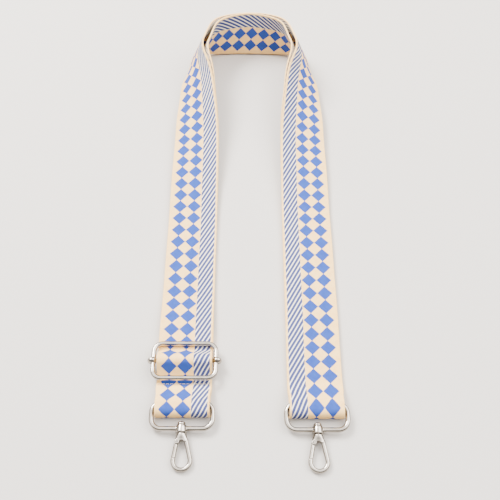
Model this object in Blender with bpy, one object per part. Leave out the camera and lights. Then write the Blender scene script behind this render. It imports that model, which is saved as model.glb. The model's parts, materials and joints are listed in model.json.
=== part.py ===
"""Adjustable bag strap with an arch of doubled webbing, a three bar slider and two swivel hooks.

The strap lies on a table: its legs run along Y, side by side and flat, and turn on edge
towards the arch. One length of webbing makes it all. It is sewn round the left ring, runs
through the slider, over the arch, round the right ring and back under itself to the
slider's bar.

Units are metres, +Z is up, and the origin is the middle of the footprint at table height.
"""

import bpy
import bmesh
import math
import numpy as np
from mathutils import Vector

# Webbing
WEB_WIDTH = 0.038
WEB_THICKNESS = 0.0015
LAYER_GAP = 0.0003

# The webbing is drawn in where it passes through a ring, measured back from the ring's axis
RING_PINCH = 0.0014
PINCH_REACH = 0.01
PINCH_FADE = 0.01

# Shape of one leg, measured along the webbing from the top of the arch. A bend or a twist
# is spread as a raised cosine about its centre, and its total is worked out below.
ARCH_BEND_CENTRE = 0.0366
ARCH_BEND_SPREAD = 0.055
TWIST_CENTRE = 0.0856
TWIST_SPREAD = 0.1456
SETTLE_CENTRE = 0.213
SETTLE_SPREAD = 0.071
ARCH_LEAN_DEG = 13.6
LEFT_AXIS_PLACE = 0.3859
RIGHT_AXIS_PLACE = 0.3866

# The inner layer takes the arch's corners more tightly than the outer one
CORNER_PARTING = 0.0017
CORNER_PLACE = 0.038
CORNER_SPREAD = 0.03

# Sewn ends, measured from the slider's bar and from the left ring's axis
BAR_TAB_LENGTH = 0.024
RING_TAB_LENGTH = 0.0165
STACK_RISE_LENGTH = 0.03
STACK_LEAD = 0.004

# Folds of the webbing at the rings and at the slider
FOLD_CLEARANCE = 0.0004
FOLD_SLACK = 0.0035
FOLD_RAMP_DEG = 25.0
FOLD_FOOT_RADIUS = 0.006
SLIDER_RAMP_DEG = 48.0
SLIDER_FOOT_RADIUS = 0.003
SLIDER_RETURN_DEG = 30.0

# Facets of the webbing
CURVED_STEP = 0.006
FLAT_STEP = 0.03
CENTRELINE_STEP = 0.001
LEAST_STEP = 0.0002
WIDTH_STRIPS = 4
ARC_STEP_DEG = 18.0

# Slider
SLIDER_WIRE = 0.0034
SLIDER_SIDE_CLEARANCE = 0.0009
SLIDER_LENGTH = 0.0258
SLIDER_CORNER = 0.006
SLIDER_SEAT_GAP = 0.0003
SLIDER_TO_RING = 0.0312
BAR_DIAMETER = 0.003
EYE_BORE = 0.0039
EYE_LENGTH = 0.0046
EYE_BAND_LENGTH = 0.0015
EYE_DIAMETER = 0.0062
EYE_END_DIAMETER = 0.0054
EYE_OFFSET = 0.00065

# Oblong ring
RING_WIRE = 0.0034
RING_SIDE_CLEARANCE = 0.0004
RING_HEIGHT = 0.0178
RING_CORNER_SHARE = 0.385
RING_AXIS_OFFSET = 0.0016

# Bell of the ring, which the hook's rivet turns in
BELL_HEAD_DIAMETER = 0.0064
BELL_WAIST_DIAMETER = 0.0072
BELL_MOUTH_DIAMETER = 0.0078
BELL_TOP = 0.0025
BELL_WAIST = 0.001
BELL_MOUTH = 0.0026
BELL_LIP = 0.0008
RIVET_DIAMETER = 0.0026
RIVET_CLEARANCE = 0.00025
RIVET_HEAD_DIAMETER = 0.0056
RIVET_HEAD_HEIGHT = 0.0022
RIVET_SEAT_GAP = 0.0003
RIVET_DEPTH = 0.0027

# Hook
SWIVEL_GAP = 0.0006
NECK_LENGTH = 0.0058
NECK_TOP_DIAMETER = 0.0068
NECK_FOOT_WIDTH = 0.0094
NECK_FOOT_DEPTH = 0.0042
NECK_EDGE = 0.0006
NECK_SQUARENESS = 2.6
NECK_STEP_SHARES = (0.25, 0.5, 0.75)
EYE_TOP_RADIUS = 0.002
EYE_TOP_PLACE = 0.0097
HOOK_WIRE = 0.0031
HOOK_BEND_RADIUS = 0.0056
HOOK_REACH = 0.0209
HOOK_ROOT_HALF_WIDTH = 0.003
HOOK_ROOT = 0.0074
HOOK_TIP_CLEARANCE = 0.0002
LEFT_HOOK_LEAN_DEG = 2.4
RIGHT_HOOK_LEAN_DEG = 0.0

# Gate, its pin and its spring
GATE_PIN_DIAMETER = 0.0011
GATE_PIN_CLEARANCE = 0.0002
GATE_PIN_SIDE = 0.0029
GATE_PIN_PLACE = 0.0084
GATE_PIN_STAND = 0.0001
GATE_LENGTH = 0.0106
GATE_SEAM = 0.0003
GATE_WIRE = 0.0029
GATE_KNUCKLE_RADIUS = 0.0013
GATE_TONGUE = 0.001
GATE_TONGUE_SIDE_GAP = 0.0002
EAR_RADIUS = 0.0016
EAR_THICKNESS = 0.0008
SPRING_WIRE = 0.0003
SPRING_RADIUS = 0.0009
SPRING_PITCH = 0.0004
SPRING_TURNS = 2
SPRING_LEG = 0.0012

# Facets of the metal pieces
WIRE_SIDES = 12
CORNER_SEGMENTS = 8
HOOK_BEND_SEGMENTS = 24
TURN_SEGMENTS = 24
FINE_TURN_SEGMENTS = 72
DOME_STEPS = 5
SPRING_SIDES = 6
SPRING_TURN_POINTS = 12
SMOOTH_ANGLE_DEG = 40.0
CUT_OVERRUN = 0.001

# Search for the bends and the twist that bring the legs down flat
SOLVE_ROUNDS = 12
SOLVE_NUDGE = 1e-4
SOLVE_MISS = 1e-9
LEAST_ANGLE = 1e-15

# Worked out from the sizes above
LAYER_STEP = WEB_THICKNESS + LAYER_GAP
LOWEST_LAYER = WEB_THICKNESS / 2
SECOND_LAYER = LOWEST_LAYER + LAYER_STEP
THIRD_LAYER = SECOND_LAYER + LAYER_STEP
MIDDLE_OF_TWO = LOWEST_LAYER + LAYER_STEP / 2
SLIDER_WIDTH = WEB_WIDTH + SLIDER_WIRE + 2 * SLIDER_SIDE_CLEARANCE
SLIDER_HEIGHT = THIRD_LAYER + WEB_THICKNESS / 2 + SLIDER_SEAT_GAP + SLIDER_WIRE / 2
SLIDER_PLACE = LEFT_AXIS_PLACE - SLIDER_TO_RING
RING_WIDTH = WEB_WIDTH - RING_PINCH + RING_WIRE + 2 * RING_SIDE_CLEARANCE
RING_CORNER = RING_HEIGHT * RING_CORNER_SHARE
WRAP_RADIUS = BAR_DIAMETER / 2 + LAYER_GAP + WEB_THICKNESS / 2
HUMP_RADIUS = WRAP_RADIUS + LAYER_STEP
FOLD_RADIUS = RING_AXIS_OFFSET + RING_WIRE / 2 + FOLD_CLEARANCE + WEB_THICKNESS / 2
FOLD_AXIS_HEIGHT = LOWEST_LAYER + FOLD_RADIUS

METAL = (0.78, 0.77, 0.75, 1.0)
DARK_METAL = (0.45, 0.44, 0.43, 1.0)
CREAM = (0.86, 0.76, 0.62, 1.0)


def clear_scene():
    """Remove every object that the file opens with."""
    for thing in list(bpy.data.objects):
        bpy.data.objects.remove(thing, do_unlink=True)


def make_material(name, colour, metallic, roughness):
    """Return a Principled material of one colour."""
    material = bpy.data.materials.new(name)
    material.use_nodes = True
    shader = material.node_tree.nodes["Principled BSDF"]
    shader.inputs["Base Color"].default_value = colour
    shader.inputs["Metallic"].default_value = metallic
    shader.inputs["Roughness"].default_value = roughness
    material.diffuse_color = colour
    return material


def add_object(name, mesh, material, parent=None, location=(0, 0, 0), rotation=(0, 0, 0)):
    """Put a mesh in the scene as one named piece."""
    mesh.materials.append(material)
    thing = bpy.data.objects.new(name, mesh)
    bpy.context.scene.collection.objects.link(thing)
    thing.parent = parent
    thing.location = location
    thing.rotation_euler = rotation
    return thing


def add_empty(name, parent=None, location=(0, 0, 0), rotation=(0, 0, 0)):
    """Put an empty in the scene, to carry the pieces that turn or stand together."""
    empty = bpy.data.objects.new(name, None)
    bpy.context.scene.collection.objects.link(empty)
    empty.parent = parent
    empty.location = location
    empty.rotation_euler = rotation
    return empty


def mesh_from(name, corners, faces):
    """Make a closed mesh with outward faces, smooth where its faces meet gently."""
    mesh = bpy.data.meshes.new(name)
    mesh.from_pydata([tuple(corner) for corner in corners], [], faces)
    form = bmesh.new()
    form.from_mesh(mesh)
    bmesh.ops.recalc_face_normals(form, faces=form.faces)
    form.to_mesh(mesh)
    form.free()
    mesh.shade_smooth()
    mesh.set_sharp_from_angle(angle=math.radians(SMOOTH_ANGLE_DEG))
    return mesh


def tube_mesh(name, path, radius, closed, up=Vector((0, 0, 1)), sides=WIRE_SIDES):
    """Sweep a round wire along a path, as a loop or with flat ends."""
    count = len(path)
    corners, faces = [], []
    for index, point in enumerate(path):
        before = path[index - 1] if closed or index else point
        after = path[(index + 1) % count] if closed or index < count - 1 else point
        along = (after - before).normalized()
        side = along.cross(up).normalized()
        lift = side.cross(along).normalized()
        for turn in range(sides):
            angle = 2 * math.pi * turn / sides
            corners.append(point + radius * (math.cos(angle) * side + math.sin(angle) * lift))
    for index in range(count if closed else count - 1):
        here, there = index * sides, (index + 1) % count * sides
        for turn in range(sides):
            after = (turn + 1) % sides
            faces.append((here + turn, here + after, there + after, there + turn))
    if not closed:
        faces.append(tuple(range(sides)))
        faces.append(tuple(range((count - 1) * sides, count * sides)))
    return mesh_from(name, corners, faces)


def turned_mesh(name, profile):
    """Turn a closed outline of (radius, place along Y) about the Y axis."""
    corners, faces, rows = [], [], []
    for radius, place in profile:
        if radius == 0:
            rows.append([len(corners)])
            corners.append((0, place, 0))
            continue
        rows.append(list(range(len(corners), len(corners) + TURN_SEGMENTS)))
        for turn in range(TURN_SEGMENTS):
            angle = 2 * math.pi * turn / TURN_SEGMENTS
            corners.append((radius * math.cos(angle), place, radius * math.sin(angle)))
    pairs = list(zip(rows, rows[1:]))
    if len(rows[0]) > 1 and len(rows[-1]) > 1:
        pairs.append((rows[-1], rows[0]))
    for first, second in pairs:
        for turn in range(TURN_SEGMENTS):
            after = (turn + 1) % TURN_SEGMENTS
            ring = [first[turn % len(first)], first[after % len(first)],
                    second[after % len(second)], second[turn % len(second)]]
            face = list(dict.fromkeys(ring))
            if len(face) > 2:
                faces.append(tuple(face))
    return mesh_from(name, corners, faces)


def neck_mesh(name, top_place):
    """Loft the hook's neck from its round top to the wide flat foot that carries the arms."""
    length, edge = NECK_LENGTH, NECK_EDGE
    stations = [(0, -edge), (edge, 0)] + [(length * share, 0) for share in NECK_STEP_SHARES]
    stations += [(length - edge, 0), (length, -edge)]
    corners, faces = [], []
    for down, inset in stations:
        widened = smooth_share(down / length)
        wide = (NECK_TOP_DIAMETER + (NECK_FOOT_WIDTH - NECK_TOP_DIAMETER) * widened) / 2 + inset
        deep = (NECK_TOP_DIAMETER + (NECK_FOOT_DEPTH - NECK_TOP_DIAMETER) * widened) / 2 + inset
        power = 2 / (2 + (NECK_SQUARENESS - 2) * widened)
        for turn in range(TURN_SEGMENTS):
            angle = 2 * math.pi * turn / TURN_SEGMENTS
            c, s = math.cos(angle), math.sin(angle)
            corners.append((math.copysign(wide * abs(c) ** power, c), top_place - down,
                            math.copysign(deep * abs(s) ** power, s)))
    for row in range(len(stations) - 1):
        for turn in range(TURN_SEGMENTS):
            first, after = row * TURN_SEGMENTS, (turn + 1) % TURN_SEGMENTS
            second = first + TURN_SEGMENTS
            faces.append((first + turn, first + after, second + after, second + turn))
    faces.append(tuple(range(TURN_SEGMENTS)))
    faces.append(tuple(range(len(corners) - TURN_SEGMENTS, len(corners))))
    return mesh_from(name, corners, faces)


def drum_mesh(name, radius, low, high, centre=(0, 0), segments=TURN_SEGMENTS):
    """Make a plain cylinder that stands along Z between two heights."""
    corners, faces = [], []
    for height in (low, high):
        for turn in range(segments):
            angle = math.pi * (2 * turn + 1) / segments
            corners.append((centre[0] + radius * math.cos(angle),
                            centre[1] + radius * math.sin(angle), height))
    for turn in range(segments):
        after = (turn + 1) % segments
        faces.append((turn, after, segments + after, segments + turn))
    faces.append(tuple(range(segments)))
    faces.append(tuple(range(segments, 2 * segments)))
    return mesh_from(name, corners, faces)


def block_mesh(name, low, high):
    """Make a box between two corners."""
    corners = [(x, y, z) for x in (low[0], high[0]) for y in (low[1], high[1])
               for z in (low[2], high[2])]
    faces = [(0, 1, 3, 2), (4, 6, 7, 5), (0, 4, 5, 1), (2, 3, 7, 6), (0, 2, 6, 4), (1, 5, 7, 3)]
    return mesh_from(name, corners, faces)


def add_tool(name, mesh, parent=None, location=(0, 0, 0)):
    """Put a mesh in the scene as a guide for a Boolean, left out of the part."""
    tool = bpy.data.objects.new(name, mesh)
    bpy.context.scene.collection.objects.link(tool)
    tool.parent = parent
    tool.location = location
    tool.hide_render = True
    tool.display_type = "WIRE"
    return tool


def combine(thing, tool, operation):
    """Join, cut or keep the common space of a piece and a guide."""
    change = thing.modifiers.new(tool.name, "BOOLEAN")
    change.operation = operation
    change.solver = "EXACT"
    change.object = tool


def spread_share(place, centre, spread):
    """Return the raised cosine density, whose whole is one, at places along the webbing."""
    offset = np.clip((place - centre) / spread, -1, 1)
    return (1 + np.cos(math.pi * offset)) / (2 * spread)


def smooth_share(value):
    """Return a smooth step from nothing to one."""
    value = min(max(value, 0.0), 1.0)
    return value * value * (3 - 2 * value)


class Centreline:
    """The middle line of the doubled webbing, from the top of the arch down the right leg.

    At each place it holds a point, the direction across the width (from the diamond edge
    to the striped edge) and the direction out of the outer face. The left leg mirrors it.
    """

    def __init__(self):
        self.length = max(LEFT_AXIS_PLACE, RIGHT_AXIS_PLACE) + FOLD_SLACK + 2 * FOLD_RADIUS
        self.places = np.arange(0, self.length + CENTRELINE_STEP, CENTRELINE_STEP)
        totals = self.solve_totals()
        self.points, frames = self.integrate(totals)
        self.out = frames[:, :, 1]
        self.across = frames[:, :, 2]
        self.points[:, 2] += MIDDLE_OF_TWO - self.points[-1, 2]

    def integrate(self, totals):
        """Roll the frame along the webbing and sum its steps into points."""
        bend_total, twist_total, settle_total = totals
        middle = (self.places[1:] + self.places[:-1]) / 2
        bend = bend_total * (spread_share(middle, ARCH_BEND_CENTRE, ARCH_BEND_SPREAD)
                             + spread_share(middle, -ARCH_BEND_CENTRE, ARCH_BEND_SPREAD))
        bend += settle_total * spread_share(middle, SETTLE_CENTRE, SETTLE_SPREAD)
        twist = twist_total * spread_share(middle, TWIST_CENTRE, TWIST_SPREAD)
        lean = math.radians(ARCH_LEAN_DEG)
        across = np.array([0, math.sin(lean), math.cos(lean)])
        along = np.array([1.0, 0, 0])
        frame = np.stack([along, np.cross(across, along), across], axis=1)
        frames = [frame]
        for turn, bow in zip(twist * CENTRELINE_STEP, -bend * CENTRELINE_STEP):
            frame = frame @ small_turn(turn, bow)
            frames.append(frame)
        frames = np.array(frames)
        steps = (frames[1:, :, 0] + frames[:-1, :, 0]) / 2 * CENTRELINE_STEP
        points = np.vstack([np.zeros(3), np.cumsum(steps, axis=0)])
        return points, frames

    def solve_totals(self):
        """Find the three totals that bring the leg's end down flat, parallel to Y."""
        totals = np.array([math.pi / 2, math.pi / 2, 0.0])
        for _ in range(SOLVE_ROUNDS):
            miss = self.end_miss(totals)
            if np.abs(miss).max() < SOLVE_MISS:
                break
            nudged = [self.end_miss(totals + SOLVE_NUDGE * row) for row in np.eye(3)]
            slopes = [(value - miss) / SOLVE_NUDGE for value in nudged]
            totals = totals - np.linalg.solve(np.stack(slopes, axis=1), miss)
        return totals

    def end_miss(self, totals):
        """Return how far the end's frame is from lying flat and parallel to Y."""
        frame = self.integrate(totals)[1][-1]
        return np.array([frame[0, 0], frame[2, 0], frame[0, 1]])

    def at(self, place):
        """Return point, outward and across directions; a negative place is on the left leg."""
        here = abs(place)
        picked = []
        for values in (self.points, self.out, self.across):
            value = np.array([np.interp(here, self.places, values[:, axis]) for axis in range(3)])
            if place < 0:
                value[0] = -value[0]
            picked.append(value)
        return picked

    def world(self, place, height, side):
        """Return the point at a place, a height above the middle line and a side across."""
        point, out, across = self.at(place)
        return Vector(point + height * out + side * across)


def small_turn(twist, bow):
    """Return the rotation of one step, with columns along, out and across."""
    angle = math.hypot(twist, bow) + LEAST_ANGLE
    x, z = twist / angle, bow / angle
    c, s = math.cos(angle), math.sin(angle)
    rest = 1 - c
    return np.array([[c + x * x * rest, -z * s, x * z * rest],
                     [z * s, c, -x * s],
                     [x * z * rest, x * s, c + z * z * rest]])


def rounded_path(corners):
    """Round the corners of a path of (place, height, radius) with arcs."""
    path = [np.array(corners[0][:2])]
    for before, corner, after in zip(corners, corners[1:], corners[2:]):
        here = np.array(corner[:2])
        inward = np.array(before[:2]) - here
        onward = np.array(after[:2]) - here
        inward = inward / np.linalg.norm(inward)
        onward = onward / np.linalg.norm(onward)
        radius = corner[2]
        half = math.acos(max(-1.0, min(1.0, float(inward @ onward)))) / 2
        start = here + inward * radius / math.tan(half)
        end = here + onward * radius / math.tan(half)
        middle = here + (inward + onward) / np.linalg.norm(inward + onward) * radius / math.sin(half)
        sweep = math.pi - 2 * half
        steps = max(1, math.ceil(math.degrees(sweep) / ARC_STEP_DEG))
        first, last = start - middle, end - middle
        for index in range(steps + 1):
            angle = sweep * index / steps
            point = (math.sin(sweep - angle) * first + math.sin(angle) * last) / math.sin(sweep)
            path.append(middle + point)
    path.append(np.array(corners[-1][:2]))
    return path


def outer_height(place):
    """Height of the outer layer over the middle line; it climbs over the slider's tab."""
    tab_end = SLIDER_PLACE - BAR_TAB_LENGTH - STACK_LEAD
    climbed = smooth_share((-place - tab_end + STACK_RISE_LENGTH) / STACK_RISE_LENGTH)
    return LAYER_STEP / 2 + LAYER_STEP * climbed


def inner_height(place):
    """Height of the inner layer, which parts from the outer one at the arch's corners."""
    parting = spread_share(abs(place), CORNER_PLACE, CORNER_SPREAD) * CORNER_SPREAD
    return outer_height(place) - LAYER_STEP - CORNER_PARTING * parting


def run_places(start, end):
    """Return places along a run, close together where the webbing bends or twists."""
    curved = SETTLE_CENTRE + SETTLE_SPREAD
    places, place = [], -curved
    while place < curved:
        places.append(place)
        place += CURVED_STEP
    places.append(curved)
    for sign, edge in ((-1, abs(start)), (1, abs(end))):
        count = max(1, math.ceil((edge - curved) / FLAT_STEP))
        places += [sign * (curved + (edge - curved) * step / count) for step in range(1, count + 1)]
    return sorted(places)


def ring_fold(axis_place, tab_place, layer_height):
    """Corners of the fold round a ring, from the layer above the tab to the tab's end.

    Places are along the leg, and heights are over the middle line.
    """
    ramp = math.radians(FOLD_RAMP_DEG)
    top = FOLD_AXIS_HEIGHT + FOLD_RADIUS
    crest = axis_place - FOLD_RADIUS * math.tan(ramp / 2)
    foot = crest - (top - SECOND_LAYER) / math.tan(ramp)
    tip = axis_place + FOLD_SLACK + FOLD_RADIUS
    corners = [(foot, SECOND_LAYER, FOLD_FOOT_RADIUS), (crest, top, FOLD_RADIUS),
               (tip, top, FOLD_RADIUS), (tip, LOWEST_LAYER, FOLD_RADIUS),
               (tab_place, layer_height, 0)]
    return [(place, height - MIDDLE_OF_TWO, radius) for place, height, radius in corners]


def slider_hump(run_place):
    """Corners of the outer layer over the slider's bar, from the arch side to the ring side."""
    ramp = math.radians(SLIDER_RAMP_DEG)
    top = SLIDER_HEIGHT + HUMP_RADIUS
    half = HUMP_RADIUS * math.tan(ramp / 2)
    near = SLIDER_PLACE - half - (top - THIRD_LAYER) / math.tan(ramp)
    far = SLIDER_PLACE + half + (top - SECOND_LAYER) / math.tan(ramp)
    corners = [(run_place, THIRD_LAYER, 0), (near, THIRD_LAYER, SLIDER_FOOT_RADIUS),
               (SLIDER_PLACE - half, top, HUMP_RADIUS), (SLIDER_PLACE + half, top, HUMP_RADIUS),
               (far, SECOND_LAYER, SLIDER_FOOT_RADIUS)]
    return [(place, height - MIDDLE_OF_TWO, radius) for place, height, radius in corners]


def slider_wrap(run_place):
    """Corners of the inner layer round the slider's bar and back to its sewn end."""
    ramp, back = math.radians(SLIDER_RAMP_DEG), math.radians(SLIDER_RETURN_DEG)
    top = SLIDER_HEIGHT + WRAP_RADIUS
    half = WRAP_RADIUS * math.tan(ramp / 2)
    near = SLIDER_PLACE - half - (top - SECOND_LAYER) / math.tan(ramp)
    low_turn = SLIDER_PLACE + WRAP_RADIUS
    low_height = SLIDER_HEIGHT - WRAP_RADIUS * math.tan(math.pi / 4 - back / 2)
    touch = low_turn - (low_height - LOWEST_LAYER) / math.tan(back)
    corners = [(run_place, SECOND_LAYER, 0), (near, SECOND_LAYER, SLIDER_FOOT_RADIUS),
               (SLIDER_PLACE - half, top, WRAP_RADIUS), (low_turn, top, WRAP_RADIUS),
               (low_turn, low_height, WRAP_RADIUS), (touch, LOWEST_LAYER, SLIDER_FOOT_RADIUS),
               (SLIDER_PLACE - BAR_TAB_LENGTH, LOWEST_LAYER, 0)]
    return [(place, height - MIDDLE_OF_TWO, radius) for place, height, radius in corners]


def webbing_path():
    """The route of the whole webbing as (place, height) points, from sewn end to sewn end."""
    left_start = SLIDER_PLACE - BAR_TAB_LENGTH
    right_end = RIGHT_AXIS_PLACE - RING_TAB_LENGTH - FOLD_RADIUS
    left_fold = ring_fold(LEFT_AXIS_PLACE, LEFT_AXIS_PLACE - RING_TAB_LENGTH, LOWEST_LAYER)
    left_leg = rounded_path(slider_hump(left_start) + left_fold)
    right_fold = ring_fold(RIGHT_AXIS_PLACE, right_end, LOWEST_LAYER)
    right_turn = rounded_path([(right_end, SECOND_LAYER - MIDDLE_OF_TWO, 0)] + right_fold)
    wrap = rounded_path(slider_wrap(left_start))
    places = run_places(left_start, right_end)[1:-1]
    outer = [np.array([place, outer_height(place)]) for place in places]
    inner = [np.array([place, inner_height(place)]) for place in reversed(places)]
    mirrored = [np.array([-place, height]) for place, height in reversed(left_leg)]
    wrapped = [np.array([-place, height]) for place, height in wrap]
    route = []
    for point in mirrored + outer + right_turn + inner + wrapped:
        if not route or np.linalg.norm(point - route[-1]) > LEAST_STEP:
            route.append(point)
    return route


def path_sides(path):
    """Return the two faces of the webbing as paths half a thickness to each side."""
    right_side, wrong_side = [], []
    for index, point in enumerate(path):
        before = path[max(index - 1, 0)]
        after = path[min(index + 1, len(path) - 1)]
        first = point - before if index else after - point
        second = after - point if index < len(path) - 1 else first
        first, second = first / np.linalg.norm(first), second / np.linalg.norm(second)
        along = (first + second) / np.linalg.norm(first + second)
        out = np.array([-along[1], along[0]])
        reach = WEB_THICKNESS / 2 / math.sqrt((1 + float(first @ second)) / 2)
        right_side.append(point + reach * out)
        wrong_side.append(point - reach * out)
    return right_side, wrong_side


def width_share(place):
    """Share of the webbing's full width at a place, less where it is drawn in by a ring."""
    axis_place = LEFT_AXIS_PLACE if place < 0 else RIGHT_AXIS_PLACE
    drawn = smooth_share((abs(place) - axis_place + PINCH_REACH + PINCH_FADE) / PINCH_FADE)
    return 1 - drawn * RING_PINCH / WEB_WIDTH


def make_webbing(line, material, parent):
    """Make the whole webbing as one solid ribbon along its route."""
    path = webbing_path()
    corners, faces = [], []
    row = WIDTH_STRIPS + 1
    sides = [-WEB_WIDTH / 2 + WEB_WIDTH * strip / WIDTH_STRIPS for strip in range(row)]
    for upper, lower in zip(*path_sides(path)):
        for place, height in (upper, lower):
            corners += [line.world(place, height, side * width_share(place)) for side in sides]
    for index in range(len(path) - 1):
        here, there = index * 2 * row, (index + 1) * 2 * row
        if path[index + 1][0] < path[index][0]:
            here, there = there, here
        for level in (0, row):
            for strip in range(WIDTH_STRIPS):
                first, second = here + level + strip, there + level + strip
                faces += [(first, second, second + 1), (first, second + 1, first + 1)]
        for strip in (0, WIDTH_STRIPS):
            first, second = here + strip, there + strip
            faces += [(first, second, second + row), (first, second + row, first + row)]
    for start in (0, (len(path) - 1) * 2 * row):
        for strip in range(WIDTH_STRIPS):
            faces.append((start + strip, start + strip + 1, start + row + strip + 1, start + row + strip))
    mesh = mesh_from("webbing", corners, faces)
    return add_object("webbing", mesh, material, parent)


def rounded_loop(width, height, corner):
    """Points of a rounded rectangle in the XY plane, centred on the origin."""
    points = []
    for quarter, (x_sign, y_sign) in enumerate(((1, 1), (-1, 1), (-1, -1), (1, -1))):
        centre = Vector((x_sign * (width / 2 - corner), y_sign * (height / 2 - corner), 0))
        for step in range(CORNER_SEGMENTS + 1):
            angle = (quarter + step / CORNER_SEGMENTS) * math.pi / 2
            points.append(centre + corner * Vector((math.cos(angle), math.sin(angle), 0)))
    return points


def make_slider(line, metal, parent):
    """Make the slider's frame and the loose bar whose eyes ride on the frame's sides."""
    place = line.world(-SLIDER_PLACE, SLIDER_HEIGHT - MIDDLE_OF_TWO, 0)
    frame_mesh = tube_mesh("slider_frame", rounded_loop(SLIDER_WIDTH, SLIDER_LENGTH, SLIDER_CORNER),
                           SLIDER_WIRE / 2, True)
    add_object("slider_frame", frame_mesh, metal, parent, place)
    reach = SLIDER_WIDTH / 2 - EYE_BORE / 2 - (EYE_DIAMETER / 2 - EYE_OFFSET - EYE_BORE / 2) / 2
    rod = [Vector((-reach, 0, 0)), Vector((reach, 0, 0))]
    bar = add_object("slider_bar", tube_mesh("slider_bar", rod, BAR_DIAMETER / 2, False),
                     metal, parent, place)
    profile = [(0, -EYE_LENGTH / 2), (EYE_END_DIAMETER / 2, -EYE_LENGTH / 2),
               (EYE_DIAMETER / 2, -EYE_BAND_LENGTH / 2), (EYE_DIAMETER / 2, EYE_BAND_LENGTH / 2),
               (EYE_END_DIAMETER / 2, EYE_LENGTH / 2), (0, EYE_LENGTH / 2)]
    half = EYE_LENGTH / 2 + CUT_OVERRUN
    bore = [(0, -half), (EYE_BORE / 2, -half), (EYE_BORE / 2, half), (0, half)]
    for side, name in ((-1, "left"), (1, "right")):
        spot = (side * (SLIDER_WIDTH / 2 + EYE_OFFSET), 0, 0)
        combine(bar, add_tool(name + "_eye_form", turned_mesh("eye", profile), bar, spot), "UNION")
    for side, name in ((-1, "left"), (1, "right")):
        spot = (side * SLIDER_WIDTH / 2, 0, 0)
        combine(bar, add_tool(name + "_eye_bore", turned_mesh("bore", bore), bar, spot), "DIFFERENCE")


def make_ring(side, carrier, metal):
    """Make an oblong ring with the bell that holds the hook's rivet.

    The carrier lies on the axis that the ring turns about inside the webbing's fold.
    """
    centre = RING_AXIS_OFFSET - RING_HEIGHT / 2
    path = [point + Vector((0, centre, 0)) for point in rounded_loop(RING_WIDTH, RING_HEIGHT, RING_CORNER)]
    ring = add_object(side + "_ring", tube_mesh("ring", path, RING_WIRE / 2, True), metal, carrier)
    bell = [(0, BELL_TOP), (BELL_HEAD_DIAMETER / 2, BELL_TOP), (BELL_WAIST_DIAMETER / 2, BELL_WAIST),
            (BELL_MOUTH_DIAMETER / 2, BELL_LIP - BELL_MOUTH), (BELL_MOUTH_DIAMETER / 2, -BELL_MOUTH),
            (0, -BELL_MOUTH)]
    bore_radius = RIVET_DIAMETER / 2 + RIVET_CLEARANCE
    top, foot = BELL_TOP + CUT_OVERRUN, -BELL_MOUTH - CUT_OVERRUN
    bore = [(0, foot), (bore_radius, foot), (bore_radius, top), (0, top)]
    spot = (0, RING_AXIS_OFFSET - RING_HEIGHT, 0)
    combine(ring, add_tool(side + "_bell_form", turned_mesh("bell", bell), ring, spot), "UNION")
    combine(ring, add_tool(side + "_bell_bore", turned_mesh("bore", bore), ring, spot), "DIFFERENCE")
    return ring


def make_rivet(side, carrier, metal):
    """Make the rivet whose domed head sits on the bell and whose shank holds the hook."""
    seat = BELL_TOP + RIVET_SEAT_GAP
    radius = RIVET_HEAD_DIAMETER / 2
    shank = RIVET_DIAMETER / 2
    foot = -BELL_MOUTH - SWIVEL_GAP - RIVET_DEPTH
    dome = [(radius * math.cos(angle), seat + RIVET_HEAD_HEIGHT * math.sin(angle))
            for angle in (math.pi / 2 * step / DOME_STEPS for step in range(DOME_STEPS))]
    profile = [(0, foot), (shank, foot), (shank, seat)] + dome + [(0, seat + RIVET_HEAD_HEIGHT)]
    add_object(side + "_swivel_rivet", turned_mesh("rivet", profile), metal, carrier)


def hook_arm(sign):
    """Return where an arm of the hook leaves its neck and where it meets the round end."""
    root = Vector((sign * HOOK_ROOT_HALF_WIDTH, -HOOK_ROOT, 0))
    centre = Vector((0, -HOOK_REACH, 0))
    to_root = root - centre
    swing = math.acos(HOOK_BEND_RADIUS / to_root.length)
    base = math.atan2(to_root.y, to_root.x)
    angle = base - sign * swing
    return root, centre + HOOK_BEND_RADIUS * Vector((math.cos(angle), math.sin(angle), 0)), angle


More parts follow.
